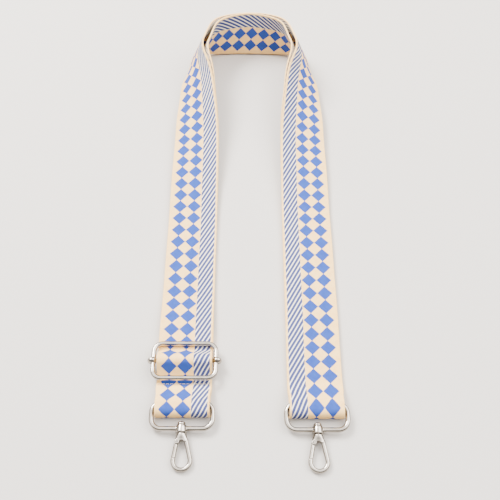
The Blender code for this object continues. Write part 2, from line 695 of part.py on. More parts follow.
def make_hook_body(side, carrier, metal):
    """Make the hook's neck, its round loop up to the gate's seam and the gate's two ears."""
    neck_top = -BELL_MOUTH - SWIVEL_GAP
    body = add_object(side + "_hook_body", neck_mesh("hook_body", neck_top), metal, carrier)
    right_root, right_touch, right_angle = hook_arm(1)
    left_root, left_touch, left_angle = hook_arm(-1)
    sweep = right_angle - (left_angle - 2 * math.pi if left_angle > 0 else left_angle)
    steps = HOOK_BEND_SEGMENTS
    centre = Vector((0, -HOOK_REACH, 0))
    bend = [centre + HOOK_BEND_RADIUS * Vector((math.cos(right_angle - sweep * step / steps),
                                                math.sin(right_angle - sweep * step / steps), 0))
            for step in range(steps + 1)]
    gate_pin = Vector((-GATE_PIN_SIDE, -GATE_PIN_PLACE, 0))
    loop = [right_root] + bend + [left_touch + (left_root - left_touch) / 2]
    tip_cut = drum_mesh("cut", GATE_LENGTH + GATE_SEAM, -HOOK_WIRE, HOOK_WIRE, gate_pin, FINE_TURN_SEGMENTS)
    arm = add_tool(side + "_arm_form", tube_mesh("arm", loop, HOOK_WIRE / 2, False), body)
    nose_guard = block_mesh("guard", (0, -HOOK_REACH - HOOK_BEND_RADIUS, -2 * HOOK_WIRE),
                            (2 * HOOK_BEND_RADIUS, 0, 2 * HOOK_WIRE))
    guard = add_tool(side + "_nose_guard", nose_guard, body)
    cut = add_tool(side + "_nose_cut", tip_cut, body)
    combine(cut, guard, "DIFFERENCE")
    combine(arm, cut, "DIFFERENCE")
    combine(body, arm, "UNION")
    eye_top = drum_mesh("eye_top", EYE_TOP_RADIUS, -HOOK_WIRE, HOOK_WIRE, (0, -EYE_TOP_PLACE))
    combine(body, add_tool(side + "_eye_top", eye_top, body), "DIFFERENCE")
    slot_half = slot_half_width()
    ear_foot = slot_half + EAR_THICKNESS
    ears = add_tool(side + "_ear_form", drum_mesh("ears", EAR_RADIUS, -ear_foot, ear_foot, gate_pin), body)
    combine(body, ears, "UNION")
    reach = EAR_RADIUS + GATE_SEAM
    slot = block_mesh("slot", (-2 * NECK_FOOT_WIDTH, -GATE_PIN_PLACE - 2 * EAR_RADIUS, -slot_half),
                      (-GATE_PIN_SIDE + reach, -GATE_PIN_PLACE + reach, slot_half))
    combine(body, add_tool(side + "_slot_cut", slot, body), "DIFFERENCE")
    pin_hole = drum_mesh("hole", GATE_PIN_DIAMETER / 2 + GATE_PIN_CLEARANCE, -2 * ear_foot, 2 * ear_foot,
                         gate_pin)
    combine(body, add_tool(side + "_pin_hole", pin_hole, body), "DIFFERENCE")
    hole_radius = RIVET_DIAMETER / 2 + RIVET_CLEARANCE
    hole_foot = neck_top - RIVET_DEPTH - RIVET_SEAT_GAP
    hole = [(0, hole_foot), (hole_radius, hole_foot), (hole_radius, neck_top + CUT_OVERRUN),
            (0, neck_top + CUT_OVERRUN)]
    combine(body, add_tool(side + "_rivet_hole", turned_mesh("hole", hole), body), "DIFFERENCE")


def slot_half_width():
    """Half of the slot between the ears, which holds the gate's tongue and the spring."""
    spring = SPRING_PITCH * SPRING_TURNS + SPRING_WIRE
    return (GATE_TONGUE + spring + 3 * GATE_TONGUE_SIDE_GAP) / 2


def make_gate(side, carrier, metal, dark):
    """Make the gate with its tongue, the pin that it turns on and the spring round the pin.

    The carrier lies on the pin's axis, so the gate's parts are given from there.
    """
    pin = Vector((-GATE_PIN_SIDE, -GATE_PIN_PLACE, 0))
    root, touch, _ = hook_arm(-1)
    along = (touch - root).normalized()
    start = root + along * (pin - root).dot(along) - pin
    rod = [start, start + along * (GATE_LENGTH + GATE_WIRE)]
    gate = add_object(side + "_gate", tube_mesh("gate", rod, GATE_WIRE / 2, False), metal, carrier)
    reach = drum_mesh("reach", GATE_LENGTH, -GATE_WIRE, GATE_WIRE, (0, 0), FINE_TURN_SEGMENTS)
    combine(gate, add_tool(side + "_gate_reach", reach, gate), "INTERSECT")
    clear = EAR_RADIUS + GATE_SEAM
    room = drum_mesh("room", clear, -GATE_WIRE, GATE_WIRE)
    combine(gate, add_tool(side + "_gate_room", room, gate), "DIFFERENCE")
    low = -slot_half_width() + GATE_TONGUE_SIDE_GAP
    knuckle = drum_mesh("knuckle", GATE_KNUCKLE_RADIUS, low, low + GATE_TONGUE)
    tongue_end = start + along * (clear + GATE_WIRE / 2)
    across = along.cross(Vector((0, 0, 1))) * GATE_TONGUE
    corners = []
    for height in (low, low + GATE_TONGUE):
        for spot in (-across, across, tongue_end + across, tongue_end - across):
            corners.append((spot.x, spot.y, height))
    faces = [(0, 1, 2, 3), (4, 5, 6, 7), (0, 1, 5, 4), (1, 2, 6, 5), (2, 3, 7, 6), (3, 0, 4, 7)]
    tongue = mesh_from("tongue", corners, faces)
    combine(gate, add_tool(side + "_tongue_form", tongue, gate), "UNION")
    combine(gate, add_tool(side + "_knuckle_form", knuckle, gate), "UNION")
    hole = drum_mesh("hole", GATE_PIN_DIAMETER / 2 + GATE_PIN_CLEARANCE, -GATE_WIRE, GATE_WIRE)
    combine(gate, add_tool(side + "_gate_hole", hole, gate), "DIFFERENCE")
    add_object(side + "_gate_spring", spring_mesh(low + GATE_TONGUE + GATE_TONGUE_SIDE_GAP), dark, carrier)


def spring_mesh(start_height):
    """Make the small torsion spring: a coil of round wire, a leg on the gate, one on the neck."""
    count = math.ceil(SPRING_TURN_POINTS * SPRING_TURNS)
    base = start_height + SPRING_WIRE / 2
    path = [Vector((SPRING_RADIUS, -SPRING_LEG, base))]
    for index in range(count + 1):
        turned = SPRING_TURNS * index / count
        angle = 2 * math.pi * turned
        path.append(Vector((SPRING_RADIUS * math.cos(angle), SPRING_RADIUS * math.sin(angle),
                            base + SPRING_PITCH * turned)))
    path.append(Vector((SPRING_RADIUS, SPRING_LEG, path[-1].z)))
    return tube_mesh("gate_spring", path, SPRING_WIRE / 2, False, sides=SPRING_SIDES)


def make_gate_pin(side, carrier, metal):
    """Make the pin that goes through both ears and the gate's tongue."""
    half = slot_half_width() + EAR_THICKNESS + GATE_PIN_STAND
    pin = drum_mesh("gate_pin", GATE_PIN_DIAMETER / 2, -half, half)
    add_object(side + "_gate_pin", pin, metal, carrier)


def make_end(side, line, axis_place, lean_deg, metals, parent):
    """Make one end of the strap: ring, rivet, hook and gate, from the fold's axis outwards."""
    metal, dark = metals
    reach = RING_HEIGHT - RING_AXIS_OFFSET + HOOK_REACH + HOOK_BEND_RADIUS
    drop = FOLD_AXIS_HEIGHT - HOOK_WIRE / 2 - HOOK_TIP_CLEARANCE
    sign = -1 if side == "left" else 1
    place = line.world(sign * axis_place, FOLD_AXIS_HEIGHT - MIDDLE_OF_TWO, 0)
    axis = add_empty(side + "_ring_axis", parent, place, (math.asin(drop / reach), 0, 0))
    make_ring(side, axis, metal)
    spot = (0, RING_AXIS_OFFSET - RING_HEIGHT, 0)
    swivel = add_empty(side + "_swivel_axis", axis, spot, (0, 0, math.radians(lean_deg)))
    make_rivet(side, swivel, metal)
    make_hook_body(side, swivel, metal)
    gate_axis = add_empty(side + "_gate_axis", swivel, (-GATE_PIN_SIDE, -GATE_PIN_PLACE, 0))
    make_gate(side, gate_axis, metal, dark)
    make_gate_pin(side, gate_axis, metal)


def footprint_centre():
    """Return the middle of all pieces seen from above."""
    bpy.context.view_layer.update()
    graph = bpy.context.evaluated_depsgraph_get()
    low, high = Vector((math.inf,) * 3), Vector((-math.inf,) * 3)
    for thing in bpy.data.objects:
        if thing.type != "MESH" or thing.hide_render:
            continue
        shape = thing.evaluated_get(graph)
        mesh = shape.to_mesh()
        for vertex in mesh.vertices:
            spot = thing.matrix_world @ vertex.co
            low = Vector(map(min, low, spot))
            high = Vector(map(max, high, spot))
        shape.to_mesh_clear()
    return (low + high) / 2, low


def main():
    """Build the strap and set its origin to the middle of its footprint."""
    clear_scene()
    line = Centreline()
    strap = add_empty("strap")
    fabric = make_material("webbing", CREAM, 0.0, 0.85)
    metal = make_material("nickel", METAL, 1.0, 0.22)
    dark = make_material("spring_steel", DARK_METAL, 1.0, 0.4)
    make_webbing(line, fabric, strap)
    make_slider(line, metal, strap)
    make_end("left", line, LEFT_AXIS_PLACE, LEFT_HOOK_LEAN_DEG, (metal, dark), strap)
    make_end("right", line, RIGHT_AXIS_PLACE, RIGHT_HOOK_LEAN_DEG, (metal, dark), strap)
    centre, low = footprint_centre()
    strap.location = (-centre.x, -centre.y, -low.z)
    bpy.context.view_layer.update()


main()
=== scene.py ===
"""Looks of an adjustable bag strap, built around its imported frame.

The webbing, its stitches and the plated fittings are modelled here in full detail, each in
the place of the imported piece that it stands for. All lengths are metres, +Z is up and the
strap lies on a pale floor, as in the photograph.
"""

import json
import logging
import math
from dataclasses import dataclass
from enum import Enum
from typing import Iterable, Optional, Sequence, Union

import bmesh
import bpy
import numpy as np
from mathutils import Matrix, Vector

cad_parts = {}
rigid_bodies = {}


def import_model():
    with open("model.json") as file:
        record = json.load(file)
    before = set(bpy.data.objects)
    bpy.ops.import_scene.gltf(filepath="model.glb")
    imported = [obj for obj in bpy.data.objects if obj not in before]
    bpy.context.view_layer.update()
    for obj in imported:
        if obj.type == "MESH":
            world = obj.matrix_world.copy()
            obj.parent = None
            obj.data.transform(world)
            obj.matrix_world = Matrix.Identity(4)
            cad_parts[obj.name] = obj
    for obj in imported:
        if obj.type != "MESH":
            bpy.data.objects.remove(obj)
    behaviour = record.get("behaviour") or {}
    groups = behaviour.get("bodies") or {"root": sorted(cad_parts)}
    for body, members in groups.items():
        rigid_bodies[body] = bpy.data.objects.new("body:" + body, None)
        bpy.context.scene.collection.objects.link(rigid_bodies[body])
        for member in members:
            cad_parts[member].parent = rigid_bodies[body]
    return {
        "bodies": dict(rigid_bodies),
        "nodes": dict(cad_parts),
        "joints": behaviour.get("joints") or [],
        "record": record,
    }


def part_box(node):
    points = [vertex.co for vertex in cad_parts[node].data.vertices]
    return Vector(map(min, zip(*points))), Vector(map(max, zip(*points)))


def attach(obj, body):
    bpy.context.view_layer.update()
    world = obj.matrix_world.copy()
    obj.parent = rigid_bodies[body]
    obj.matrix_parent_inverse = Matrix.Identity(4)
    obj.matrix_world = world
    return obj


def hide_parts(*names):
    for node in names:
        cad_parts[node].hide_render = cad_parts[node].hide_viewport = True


LOG = logging.getLogger("bag_strap")
MILLIMETRES = 1000.0

Point = tuple[float, float]
Outline = list[Point]
Colour = tuple[float, float, float, float]


# Shader and geometry node tools


class Value:
    """A socket that adds Math nodes to its tree when it is used in arithmetic."""

    def __init__(self, bench: "Bench", socket: bpy.types.NodeSocket) -> None:
        """Wrap one output socket of a bench's tree."""
        self.bench = bench
        self.socket = socket

    def math(self, operation: str, *others: "Term") -> "Value":
        """Add one Math node, with this value as its first term."""
        terms = dict(enumerate((self, *others)))
        return self.bench.value("ShaderNodeMath", 0, terms, operation=operation)

    def __add__(self, other: "Term") -> "Value":
        """Add."""
        return self.math("ADD", other)

    __radd__ = __add__

    def __sub__(self, other: "Term") -> "Value":
        """Take away."""
        return self.math("SUBTRACT", other)

    def __rsub__(self, other: float) -> "Value":
        """Take away from a number."""
        return self.math("MULTIPLY_ADD", -1, other)

    def __mul__(self, other: "Term") -> "Value":
        """Multiply."""
        return self.math("MULTIPLY", other)

    __rmul__ = __mul__

    def __truediv__(self, other: "Term") -> "Value":
        """Divide."""
        return self.math("DIVIDE", other)

    def floor(self) -> "Value":
        """Round down."""
        return self.math("FLOOR")

    def fract(self) -> "Value":
        """Keep what stands after the point."""
        return self.math("FRACT")

    def size(self) -> "Value":
        """Drop the sign."""
        return self.math("ABSOLUTE")

    def wave(self, period: float) -> "Value":
        """Return a sine of a given period."""
        return (self * (2 * math.pi / period)).math("SINE")

    def high(self, other: "Term") -> "Value":
        """Return the larger of two."""
        return self.math("MAXIMUM", other)

    def clip(self) -> "Value":
        """Keep within nought and one."""
        return self.math("MINIMUM", 1.0).high(0.0)

    def above(self, edge: float, soft: float) -> "Value":
        """Return a mask that rises from nought to one over a soft edge."""
        return ((self - edge) * (1 / soft) + 0.5).clip()

    def between(self, first: float, last: float, soft: float) -> "Value":
        """Return a mask that is one between two edges."""
        return self.above(first, soft) * (1 - self.above(last, soft))

    def from_whole(self) -> "Value":
        """Return the distance to the nearest whole number."""
        return ((self + 0.5).fract() - 0.5).size()


Term = Union[Value, float]


class Bench:
    """One node tree, and the single method that puts nodes in it."""

    def __init__(self, tree: bpy.types.NodeTree) -> None:
        """Start from an empty tree."""
        self.tree = tree
        tree.nodes.clear()

    def node(self, kind: str, sockets: Optional[dict] = None, **settings: str) -> bpy.types.Node:
        """Add a node.

        Args:
            kind: The node's type.
            sockets: Numbers, values, nodes or links by the socket's name or number.
            settings: Its settings, which are made first.

        Returns:
            The new node.
        """
        made = self.tree.nodes.new(kind)
        for key, value in settings.items():
            setattr(made, key, value)
        for key, value in (sockets or {}).items():
            if isinstance(value, bpy.types.Node):
                value = value.outputs[0]
            value = getattr(value, "socket", value)
            if isinstance(value, bpy.types.NodeSocket):
                self.tree.links.new(value, made.inputs[key])
            else:
                made.inputs[key].default_value = value
        return made

    def value(self, kind: str, output: Union[int, str] = 0, sockets: Optional[dict] = None,
              **settings: str) -> Value:
        """Add a node and return one of its outputs as a value."""
        return Value(self, self.node(kind, sockets, **settings).outputs[output])

    def mix(self, share: Value, first: object, second: object) -> Value:
        """Mix two colours by a share."""
        return self.value("ShaderNodeMix", 2, {0: share, 6: first, 7: second}, data_type="RGBA")

    def noise(self, place: Value, scale: float, detail: float) -> Value:
        """Return noise of a given scale at a place."""
        return self.value("ShaderNodeTexNoise", 0, {"Vector": place, "Scale": scale, "Detail": detail})

    def axes(self, place: object) -> list[Value]:
        """Split a vector into its three values."""
        return [Value(self, part) for part in self.node("ShaderNodeSeparateXYZ", {0: place}).outputs]

    def bump(self, strength: float, depth: float, height: Value) -> Value:
        """Return the normal that a relief gives."""
        sockets = {"Strength": strength, "Distance": depth, "Height": height}
        return self.value("ShaderNodeBump", 0, sockets)

    def swept(self, curve: bpy.types.Node, sides: object, radius: object, capped: bool) -> bpy.types.Node:
        """Sweep a round section along a curve."""
        circle = self.node("GeometryNodeCurvePrimitiveCircle", {"Resolution": sides, "Radius": radius},
                           mode="RADIUS")
        return self.node("GeometryNodeCurveToMesh", {0: curve, 1: circle, "Fill Caps": capped})


def colour_of(red: int, green: int, blue: int) -> Colour:
    """Turn a display colour, 0 to 255, into linear light."""
    shares = (level / 255 for level in (red, green, blue))
    parts = [share / 12.92 if share <= 0.04045 else ((share + 0.055) / 1.055) ** 2.4 for share in shares]
    return (parts[0], parts[1], parts[2], 1.0)


# Finishes


@dataclass(frozen=True)
class Finish:
    """A material with one surface shader, whose sockets each kind of finish sets."""

    name: str

    def sockets(self, bench: Bench, place: Value) -> dict:
        """Return what goes on the surface shader.

        Args:
            bench: The bench of the material's tree.
            place: The place on the piece, in metres.

        Returns:
            Numbers, colours and values by the socket's name.
        """
        raise NotImplementedError

    def build(self) -> bpy.types.Material:
        """Return the material."""
        material = bpy.data.materials.new(self.name)
        material.use_nodes = True
        bench = Bench(material.node_tree)
        place = bench.value("ShaderNodeTexCoord", "Object")
        shader = bench.node("ShaderNodeBsdfPrincipled", self.sockets(bench, place))
        bench.node("ShaderNodeOutputMaterial", {"Surface": shader})
        return material


@dataclass(frozen=True)
class PlatedMetal(Finish):
    """Polished nickel plate over cast or drawn metal, a little worn."""

    name: str = "nickel_plate"
    tint: Colour = colour_of(178, 170, 160)
    worn_tint: Colour = colour_of(154, 145, 134)
    roughness: float = 0.08
    smear: float = 0.1
    worn_roughness: float = 0.05
    worn_edge: Point = (0.58, 0.3)
    cloud_scale: float = 120.0
    grain_scale: float = 900.0
    dent: float = 0.05
    dent_depth: float = 0.0002
    dent_cloud: float = 0.7

    def sockets(self, bench: Bench, place: Value) -> dict:
        """Return a mirror with clouds of wear and a fine grain."""
        cloud = bench.noise(place, self.cloud_scale, 3.0)
        fine = bench.noise(place, self.grain_scale, 2.0)
        worn = cloud.above(*self.worn_edge)
        relief = cloud * self.dent_cloud + fine * (1 - self.dent_cloud)
        return {"Base Color": bench.mix(worn, self.tint, self.worn_tint), "Metallic": 1.0,
                "Roughness": fine * self.smear + self.roughness + worn * self.worn_roughness,
                "Normal": bench.bump(self.dent, self.dent_depth, relief)}


@dataclass(frozen=True)
class SpringSteel(Finish):
    """Drawn spring wire, with fine draw marks."""

    name: str = "spring_wire"
    tint: Colour = colour_of(150, 147, 143)
    mark_tint: Colour = colour_of(110, 106, 101)
    mark_scale: float = 2500.0
    roughness: float = 0.22
    smear: float = 0.2

    def sockets(self, bench: Bench, place: Value) -> dict:
        """Return dull steel with draw marks."""
        marks = bench.noise(place, self.mark_scale, 3.0)
        return {"Base Color": bench.mix(marks, self.mark_tint, self.tint), "Metallic": 1.0,
                "Roughness": marks * self.smear + self.roughness}


@dataclass(frozen=True)
class SewingThread(Finish):
    """Twisted polyester thread."""

    name: str = "sewing_thread"
    tint: Colour = colour_of(244, 226, 204)
    shade: Colour = colour_of(214, 190, 163)
    twist_scale: float = 3200.0
    twist: float = 0.4
    twist_depth: float = 0.0001
    roughness: float = 0.6
    sheen: float = 0.3

    def sockets(self, bench: Bench, place: Value) -> dict:
        """Return matt thread with the lights of its twist."""
        twist = bench.noise(place, self.twist_scale, 1.0)
        return {"Base Color": bench.mix(twist, self.shade, self.tint), "Roughness": self.roughness,
                "Sheen Weight": self.sheen, "Normal": bench.bump(self.twist, self.twist_depth, twist)}


@dataclass(frozen=True)
class PaleFloor(Finish):
    """Smooth pale studio floor."""

    name: str = "pale_floor"
    tint: Colour = colour_of(196, 190, 183)
    roughness: float = 0.75
    gloss: float = 0.3

    def sockets(self, bench: Bench, place: Value) -> dict:
        """Return one even tint."""
        return {"Base Color": self.tint, "Roughness": self.roughness, "Specular IOR Level": self.gloss}


@dataclass(frozen=True)
class JacquardWeave(Finish):
    """Woven webbing: two columns of diamonds, a band of slanted stripes and plain selvages.

    Its coordinates come from the webbing's own map, in metres: across the width from the
    diamond edge, and along the cloth. The wrong side shows the same weave in reverse. The
    sizes here are millimetres.
    """

    name: str = "jacquard_webbing"
    map_name: str = "cloth"
    side_name: str = "wrong_side"
    cream: Colour = colour_of(249, 206, 135)
    cream_shade: Colour = colour_of(242, 192, 120)
    blue: Colour = colour_of(50, 80, 158)
    blue_shade: Colour = colour_of(34, 56, 130)
    pale: Colour = colour_of(238, 218, 190)
    white: Colour = colour_of(240, 230, 214)
    stripe_blue: Colour = colour_of(60, 67, 110)
    column_start: float = 2.8
    column_width: float = 11.15
    column_count: int = 2
    column_soft: float = 0.2
    pitch: float = 11.206
    side_share: float = 1.03
    edge_share: float = 0.52
    edge_soft: float = 0.02
    band_start: float = 25.3
    band_end: float = 36.6
    band_soft: float = 0.25
    stripes_per_pitch: int = 2
    stripe_rise: float = 3.67
    stripe_share: float = 0.7
    stripe_soft: float = 0.14
    dash_beat: tuple[float, float, float] = (0.15, 0.7, 0.08)
    dash_rows: tuple[tuple[float, float, float], ...] = ((0.7, 1.5, 0.3), (36.9, 37.5, 0.3))
    wrong_fade: float = 0.17
    thread: float = 0.3
    pick: float = 0.34
    pick_share: float = 0.6
    figure_share: float = 0.25
    cloud_scale: float = 260.0
    cream_edge: Point = (0.55, 0.5)
    cloud_share: float = 0.7
    speck_periods: Point = (1.1, 0.9)
    relief: float = 0.55
    relief_depth: float = 0.00012
    roughness: float = 0.78
    rough_relief: float = 0.08
    sheen: float = 0.05
    sheen_roughness: float = 0.4
    gloss: float = 0.12

    def sockets(self, bench: Bench, place: Value) -> dict:
        """Return the cloth: its figure from the map, and its clouds from the place."""
        spot = bench.value("ShaderNodeUVMap", uv_map=self.map_name)
        across, along = (part * MILLIMETRES for part in bench.axes(spot)[:2])
        wrong = bench.value("ShaderNodeAttribute", "Fac", attribute_name=self.side_name)
        stepped = [(length / size).floor() * size + size / 2
                   for length, size in ((across, self.thread), (along, self.pick))]
        band = across.between(self.band_start, self.band_end, self.band_soft)
        last_column = self.column_start + self.column_width * self.column_count
        columns = across.between(self.column_start, last_column, self.column_soft)
        blue = (wrong - self.diamonds(*stepped)).size() * columns
        striped = (wrong - self.stripes(across, along)).size() * band
        height = self.weave(across, along, blue.high(striped))
        cloud = bench.noise(place, self.cloud_scale, 3.0)
        speck = self.specks(across, along)
        cream = bench.mix(cloud.above(*self.cream_edge), self.cream, self.cream_shade)
        share = (cloud * self.cloud_share + speck * (1 - self.cloud_share)).clip()
        colour = bench.mix(blue, bench.mix(band, cream, self.white),
                           bench.mix(share, self.blue_shade, self.blue))
        for mask, tint in ((striped, self.stripe_blue), (wrong * self.wrong_fade, self.pale),
                           (self.dashes(across, along) * wrong, self.blue_shade)):
            colour = bench.mix(mask, colour, tint)
        return {"Base Color": colour, "Roughness": height * self.rough_relief + self.roughness,
                "Sheen Weight": self.sheen, "Sheen Roughness": self.sheen_roughness,
                "Specular IOR Level": self.gloss,
                "Normal": bench.bump(self.relief, self.relief_depth, height)}

    def diamonds(self, across: Value, along: Value) -> Value:
        """Return where the diamonds are, corner to corner in every column."""
        side = (((across - self.column_start) / self.column_width).fract() - 0.5).size()
        reach = side * self.side_share + (along / self.pitch).from_whole()
        return 1 - reach.above(self.edge_share, self.edge_soft)

    def stripes(self, across: Value, along: Value) -> Value:
        """Return where the slanted stripes are."""
        rise = self.stripe_rise / (self.band_end - self.band_start)
        phase = along * (self.stripes_per_pitch / self.pitch) - (across - self.band_start) * rise
        return 1 - phase.from_whole().above(self.stripe_share / 2, self.stripe_soft)

    def dashes(self, across: Value, along: Value) -> Value:
        """Return the floats that show on the wrong side of both selvages."""
        beat = (along * (self.stripes_per_pitch / self.pitch)).fract().between(*self.dash_beat)
        first, last = (across.between(*row) for row in self.dash_rows)
        return beat * (first + last)

    def specks(self, across: Value, along: Value) -> Value:
        """Return the small lights of a twill's crossings."""
        first, second = self.speck_periods
        lights = (along + across).wave(first) * (along - across * 2).wave(second)
        return (lights * 0.5 + 0.5).clip()

    def weave(self, across: Value, along: Value, figure: Value) -> Value:
        """Return the height of the threads: picks with warp ends over them in turn."""
        row = (along / self.pick).floor()
        picks = (along / self.pick).wave(2).size()
        ends = ((across / self.thread) + row * 0.5).wave(2).size()
        fine = picks * self.pick_share + ends * (1 - self.pick_share)
        raised = figure * self.figure_share
        return fine * (1 - self.figure_share - raised) + raised


# Meshes and Geometry Nodes


def smooth_share(value: float) -> float:
    """Return a smooth step from nought to one."""
    value = min(max(value, 0.0), 1.0)
    return value * value * (3 - 2 * value)


def around(count: int, start: float = 0.0) -> list[Point]:
    """Return the cosine and sine of even angles round a circle."""
    angles = (start + 2 * math.pi * turn / count for turn in range(count))
    return [(math.cos(angle), math.sin(angle)) for angle in angles]


def moved(mesh: bpy.types.Mesh, x: float = 0.0, y: float = 0.0) -> bpy.types.Mesh:
    """Shift a mesh in the plane of a fitting."""
    mesh.transform(Matrix.Translation((x, y, 0)))
    return mesh


def finished(thing: bpy.types.Object) -> bpy.types.Object:
    """Turn an object's live modifiers into a plain mesh.

    Args:
        thing: The object, which loses its modifiers.

    Returns:
        The same object.
    """
    bpy.context.view_layer.update()
    graph = bpy.context.evaluated_depsgraph_get()
    mesh = bpy.data.meshes.new_from_object(thing.evaluated_get(graph), depsgraph=graph)
    thing.modifiers.clear()
    thing.data = mesh
    mesh.name = thing.name
    return thing


def new_object(name: str, mesh: Optional[bpy.types.Mesh] = None) -> bpy.types.Object:
    """Put a mesh, or an empty one, in the scene under a name."""
    thing = bpy.data.objects.new(name, mesh or bpy.data.meshes.new(name))
    bpy.context.scene.collection.objects.link(thing)
    return thing


def mesh_of(name: str, corners: Iterable[Sequence[float]],
            faces: Iterable[Sequence[int]]) -> bpy.types.Mesh:
    """Make a closed mesh whose faces point outwards."""
    mesh = bpy.data.meshes.new(name)
    mesh.from_pydata([tuple(corner) for corner in corners], [], [tuple(face) for face in faces])
    form = bmesh.new()
    form.from_mesh(mesh)
    bmesh.ops.remove_doubles(form, verts=form.verts, dist=1e-7)
    bmesh.ops.recalc_face_normals(form, faces=form.faces)
    form.to_mesh(mesh)
    form.free()
    return mesh


def smooth_below(mesh: bpy.types.Mesh, degrees: float) -> None:
    """Shade a mesh smooth where its faces meet under an angle."""
    mesh.shade_smooth()
    mesh.set_sharp_from_angle(angle=math.radians(degrees))


def loft(name: str, rings: Sequence[Sequence[Sequence[float]]]) -> bpy.types.Mesh:
    """Make a closed form through rings of points, capped at both ends.

    Args:
        name: The mesh's name.
        rings: The rings in order, all with as many points.

    Returns:
        The closed mesh.
    """
    count, faces = len(rings[0]), []
    for start in range(0, count * (len(rings) - 1), count):
        for turn in range(count):
            after = (turn + 1) % count
            faces.append((start + turn, start + after, start + count + after, start + count + turn))
    faces += [range(count), range(count * (len(rings) - 1), count * len(rings))]
    return mesh_of(name, [corner for ring in rings for corner in ring], faces)


def tube(path: Sequence[Vector], radius: float, sides: int) -> bpy.types.Mesh:
    """Sweep a round wire along an open path.

    Args:
        path: Its points.
        radius: The wire's radius.
        sides: Facets round the wire.

    Returns:
        The closed mesh.
    """
    rings = []
    for index, point in enumerate(path):
        along = (path[min(index + 1, len(path) - 1)] - path[max(index - 1, 0)]).normalized()
        side = along.cross(Vector((0, 0, 1))).normalized()
        lift = side.cross(along).normalized()
        rings.append([point + radius * (c * side + s * lift) for c, s in around(sides)])
    return loft("tube", rings)


def turned(profile: Outline, segments: int = 64) -> bpy.types.Mesh:
    """Turn an outline of (radius, place along Y), with both ends on the Y axis, about it."""
    corners, faces, rows = [], [], []
    for radius, place in profile:
        count = segments if radius > 0 else 1
        rows.append(list(range(len(corners), len(corners) + count)))
        for turn in range(count):
            angle = 2 * math.pi * turn / segments
            corners.append((radius * math.cos(angle), place, radius * math.sin(angle)))
    for first, second in zip(rows, rows[1:]):
        for turn in range(segments):
            after = (turn + 1) % segments
            face = list(dict.fromkeys([first[turn % len(first)], first[after % len(first)],
                                       second[after % len(second)], second[turn % len(second)]]))
            if len(face) > 2:
                faces.append(face)
    return mesh_of("turned", corners, faces)


def plain_drum(radius: float, low: float, high: float) -> Outline:
    """Return the outline of a plain cylinder for turning about the Y axis."""
    return [(0.0, low), (radius, low), (radius, high), (0.0, high)]


def eased(profile: Outline, radius: float, steps: int = 4) -> Outline:
    """Round the inner corners of an open outline.

    Args:
        profile: The outline's points.
        radius: The most that a corner is cut back.
        steps: Points on each rounded corner.

    Returns:
        The rounded outline, with the same ends.
    """
    points = [np.array(point) for point in profile]
    rounded = [points[0]]
    for before, here, after in zip(points, points[1:], points[2:]):
        sides = [before - here, after - here]
        reach = min([radius] + [0.45 * float(np.linalg.norm(side)) for side in sides])
        start, end = (here + side / np.linalg.norm(side) * reach for side in sides)
        for step in range(steps + 1):
            share = step / steps
            rounded.append((1 - share) ** 2 * start + 2 * share * (1 - share) * here + share ** 2 * end)
    rounded.append(points[-1])
    return [(float(point[0]), float(point[1])) for point in rounded]


def drum(radius: float, low: float, high: float, centre: Point = (0.0, 0.0), segments: int = 48,
         edge: float = 0.0) -> bpy.types.Mesh:
    """Make a cylinder that stands along Z, with its rims eased by an edge."""
    levels = [(low, 0.0), (high, 0.0)]
    if edge:
        levels = [(low, edge), (low + edge * 0.3, edge * 0.3), (low + edge, 0.0),
                  (high - edge, 0.0), (high - edge * 0.3, edge * 0.3), (high, edge)]
    return loft("drum", [[(centre[0] + (radius - inset) * c, centre[1] + (radius - inset) * s, height)
                          for c, s in around(segments, math.pi / segments)]
                         for height, inset in levels])


def block(low: Sequence[float], high: Sequence[float]) -> bpy.types.Mesh:
    """Make a box between two corners."""
    corners = [(x, y, z) for x in (low[0], high[0]) for y in (low[1], high[1]) for z in (low[2], high[2])]
    faces = [(0, 1, 3, 2), (4, 6, 7, 5), (0, 4, 5, 1), (2, 3, 7, 6), (0, 2, 6, 4), (1, 5, 7, 3)]
    return mesh_of("block", corners, faces)


class Cut(Enum):
    """What a tool does to the form that it meets."""

    JOIN = "UNION"
    REMOVE = "DIFFERENCE"
    KEEP = "INTERSECT"


class Casting:
    """A metal form that is joined, softened like a casting and then machined."""

    def __init__(self, name: str, mesh: bpy.types.Mesh) -> None:
        """Start from one closed mesh."""
        self.thing = new_object(name, mesh)

    def shape(self, mesh: bpy.types.Mesh, cut: Cut) -> "Casting":
        """Join, remove or keep the space of a tool."""
        tool = new_object("tool", mesh)
        change = self.thing.modifiers.new("shape", "BOOLEAN")
        change.operation = cut.value
        change.solver = "EXACT"
        change.object = tool
        finished(self.thing)
        bpy.data.objects.remove(tool)
        return self

    def soften(self, voxel: float, rounds: int) -> "Casting":
        """Melt the joins together on a fine grid and smooth it.

        Args:
            voxel: The grid's size.
            rounds: Rounds of smoothing.

        Returns:
            The casting.
        """
        melt = self.thing.modifiers.new("melt", "REMESH")
        melt.mode = "VOXEL"
        melt.voxel_size = voxel
        ease = self.thing.modifiers.new("ease", "SMOOTH")
        ease.factor = 0.5
        ease.iterations = rounds
        finished(self.thing)
        return self

    def placed(self, frame: Matrix, material: bpy.types.Material,
               degrees: float = 35.0) -> bpy.types.Object:
        """Put the finished form in its place in the strap's frame."""
        mesh = self.thing.data
        mesh.transform(frame)
        mesh.materials.clear()
        mesh.materials.append(material)
        smooth_below(mesh, degrees)
        return self.thing

    def mesh(self) -> bpy.types.Mesh:
        """Return the form alone, without its object."""
        mesh = self.thing.data
        bpy.data.objects.remove(self.thing)
        return mesh


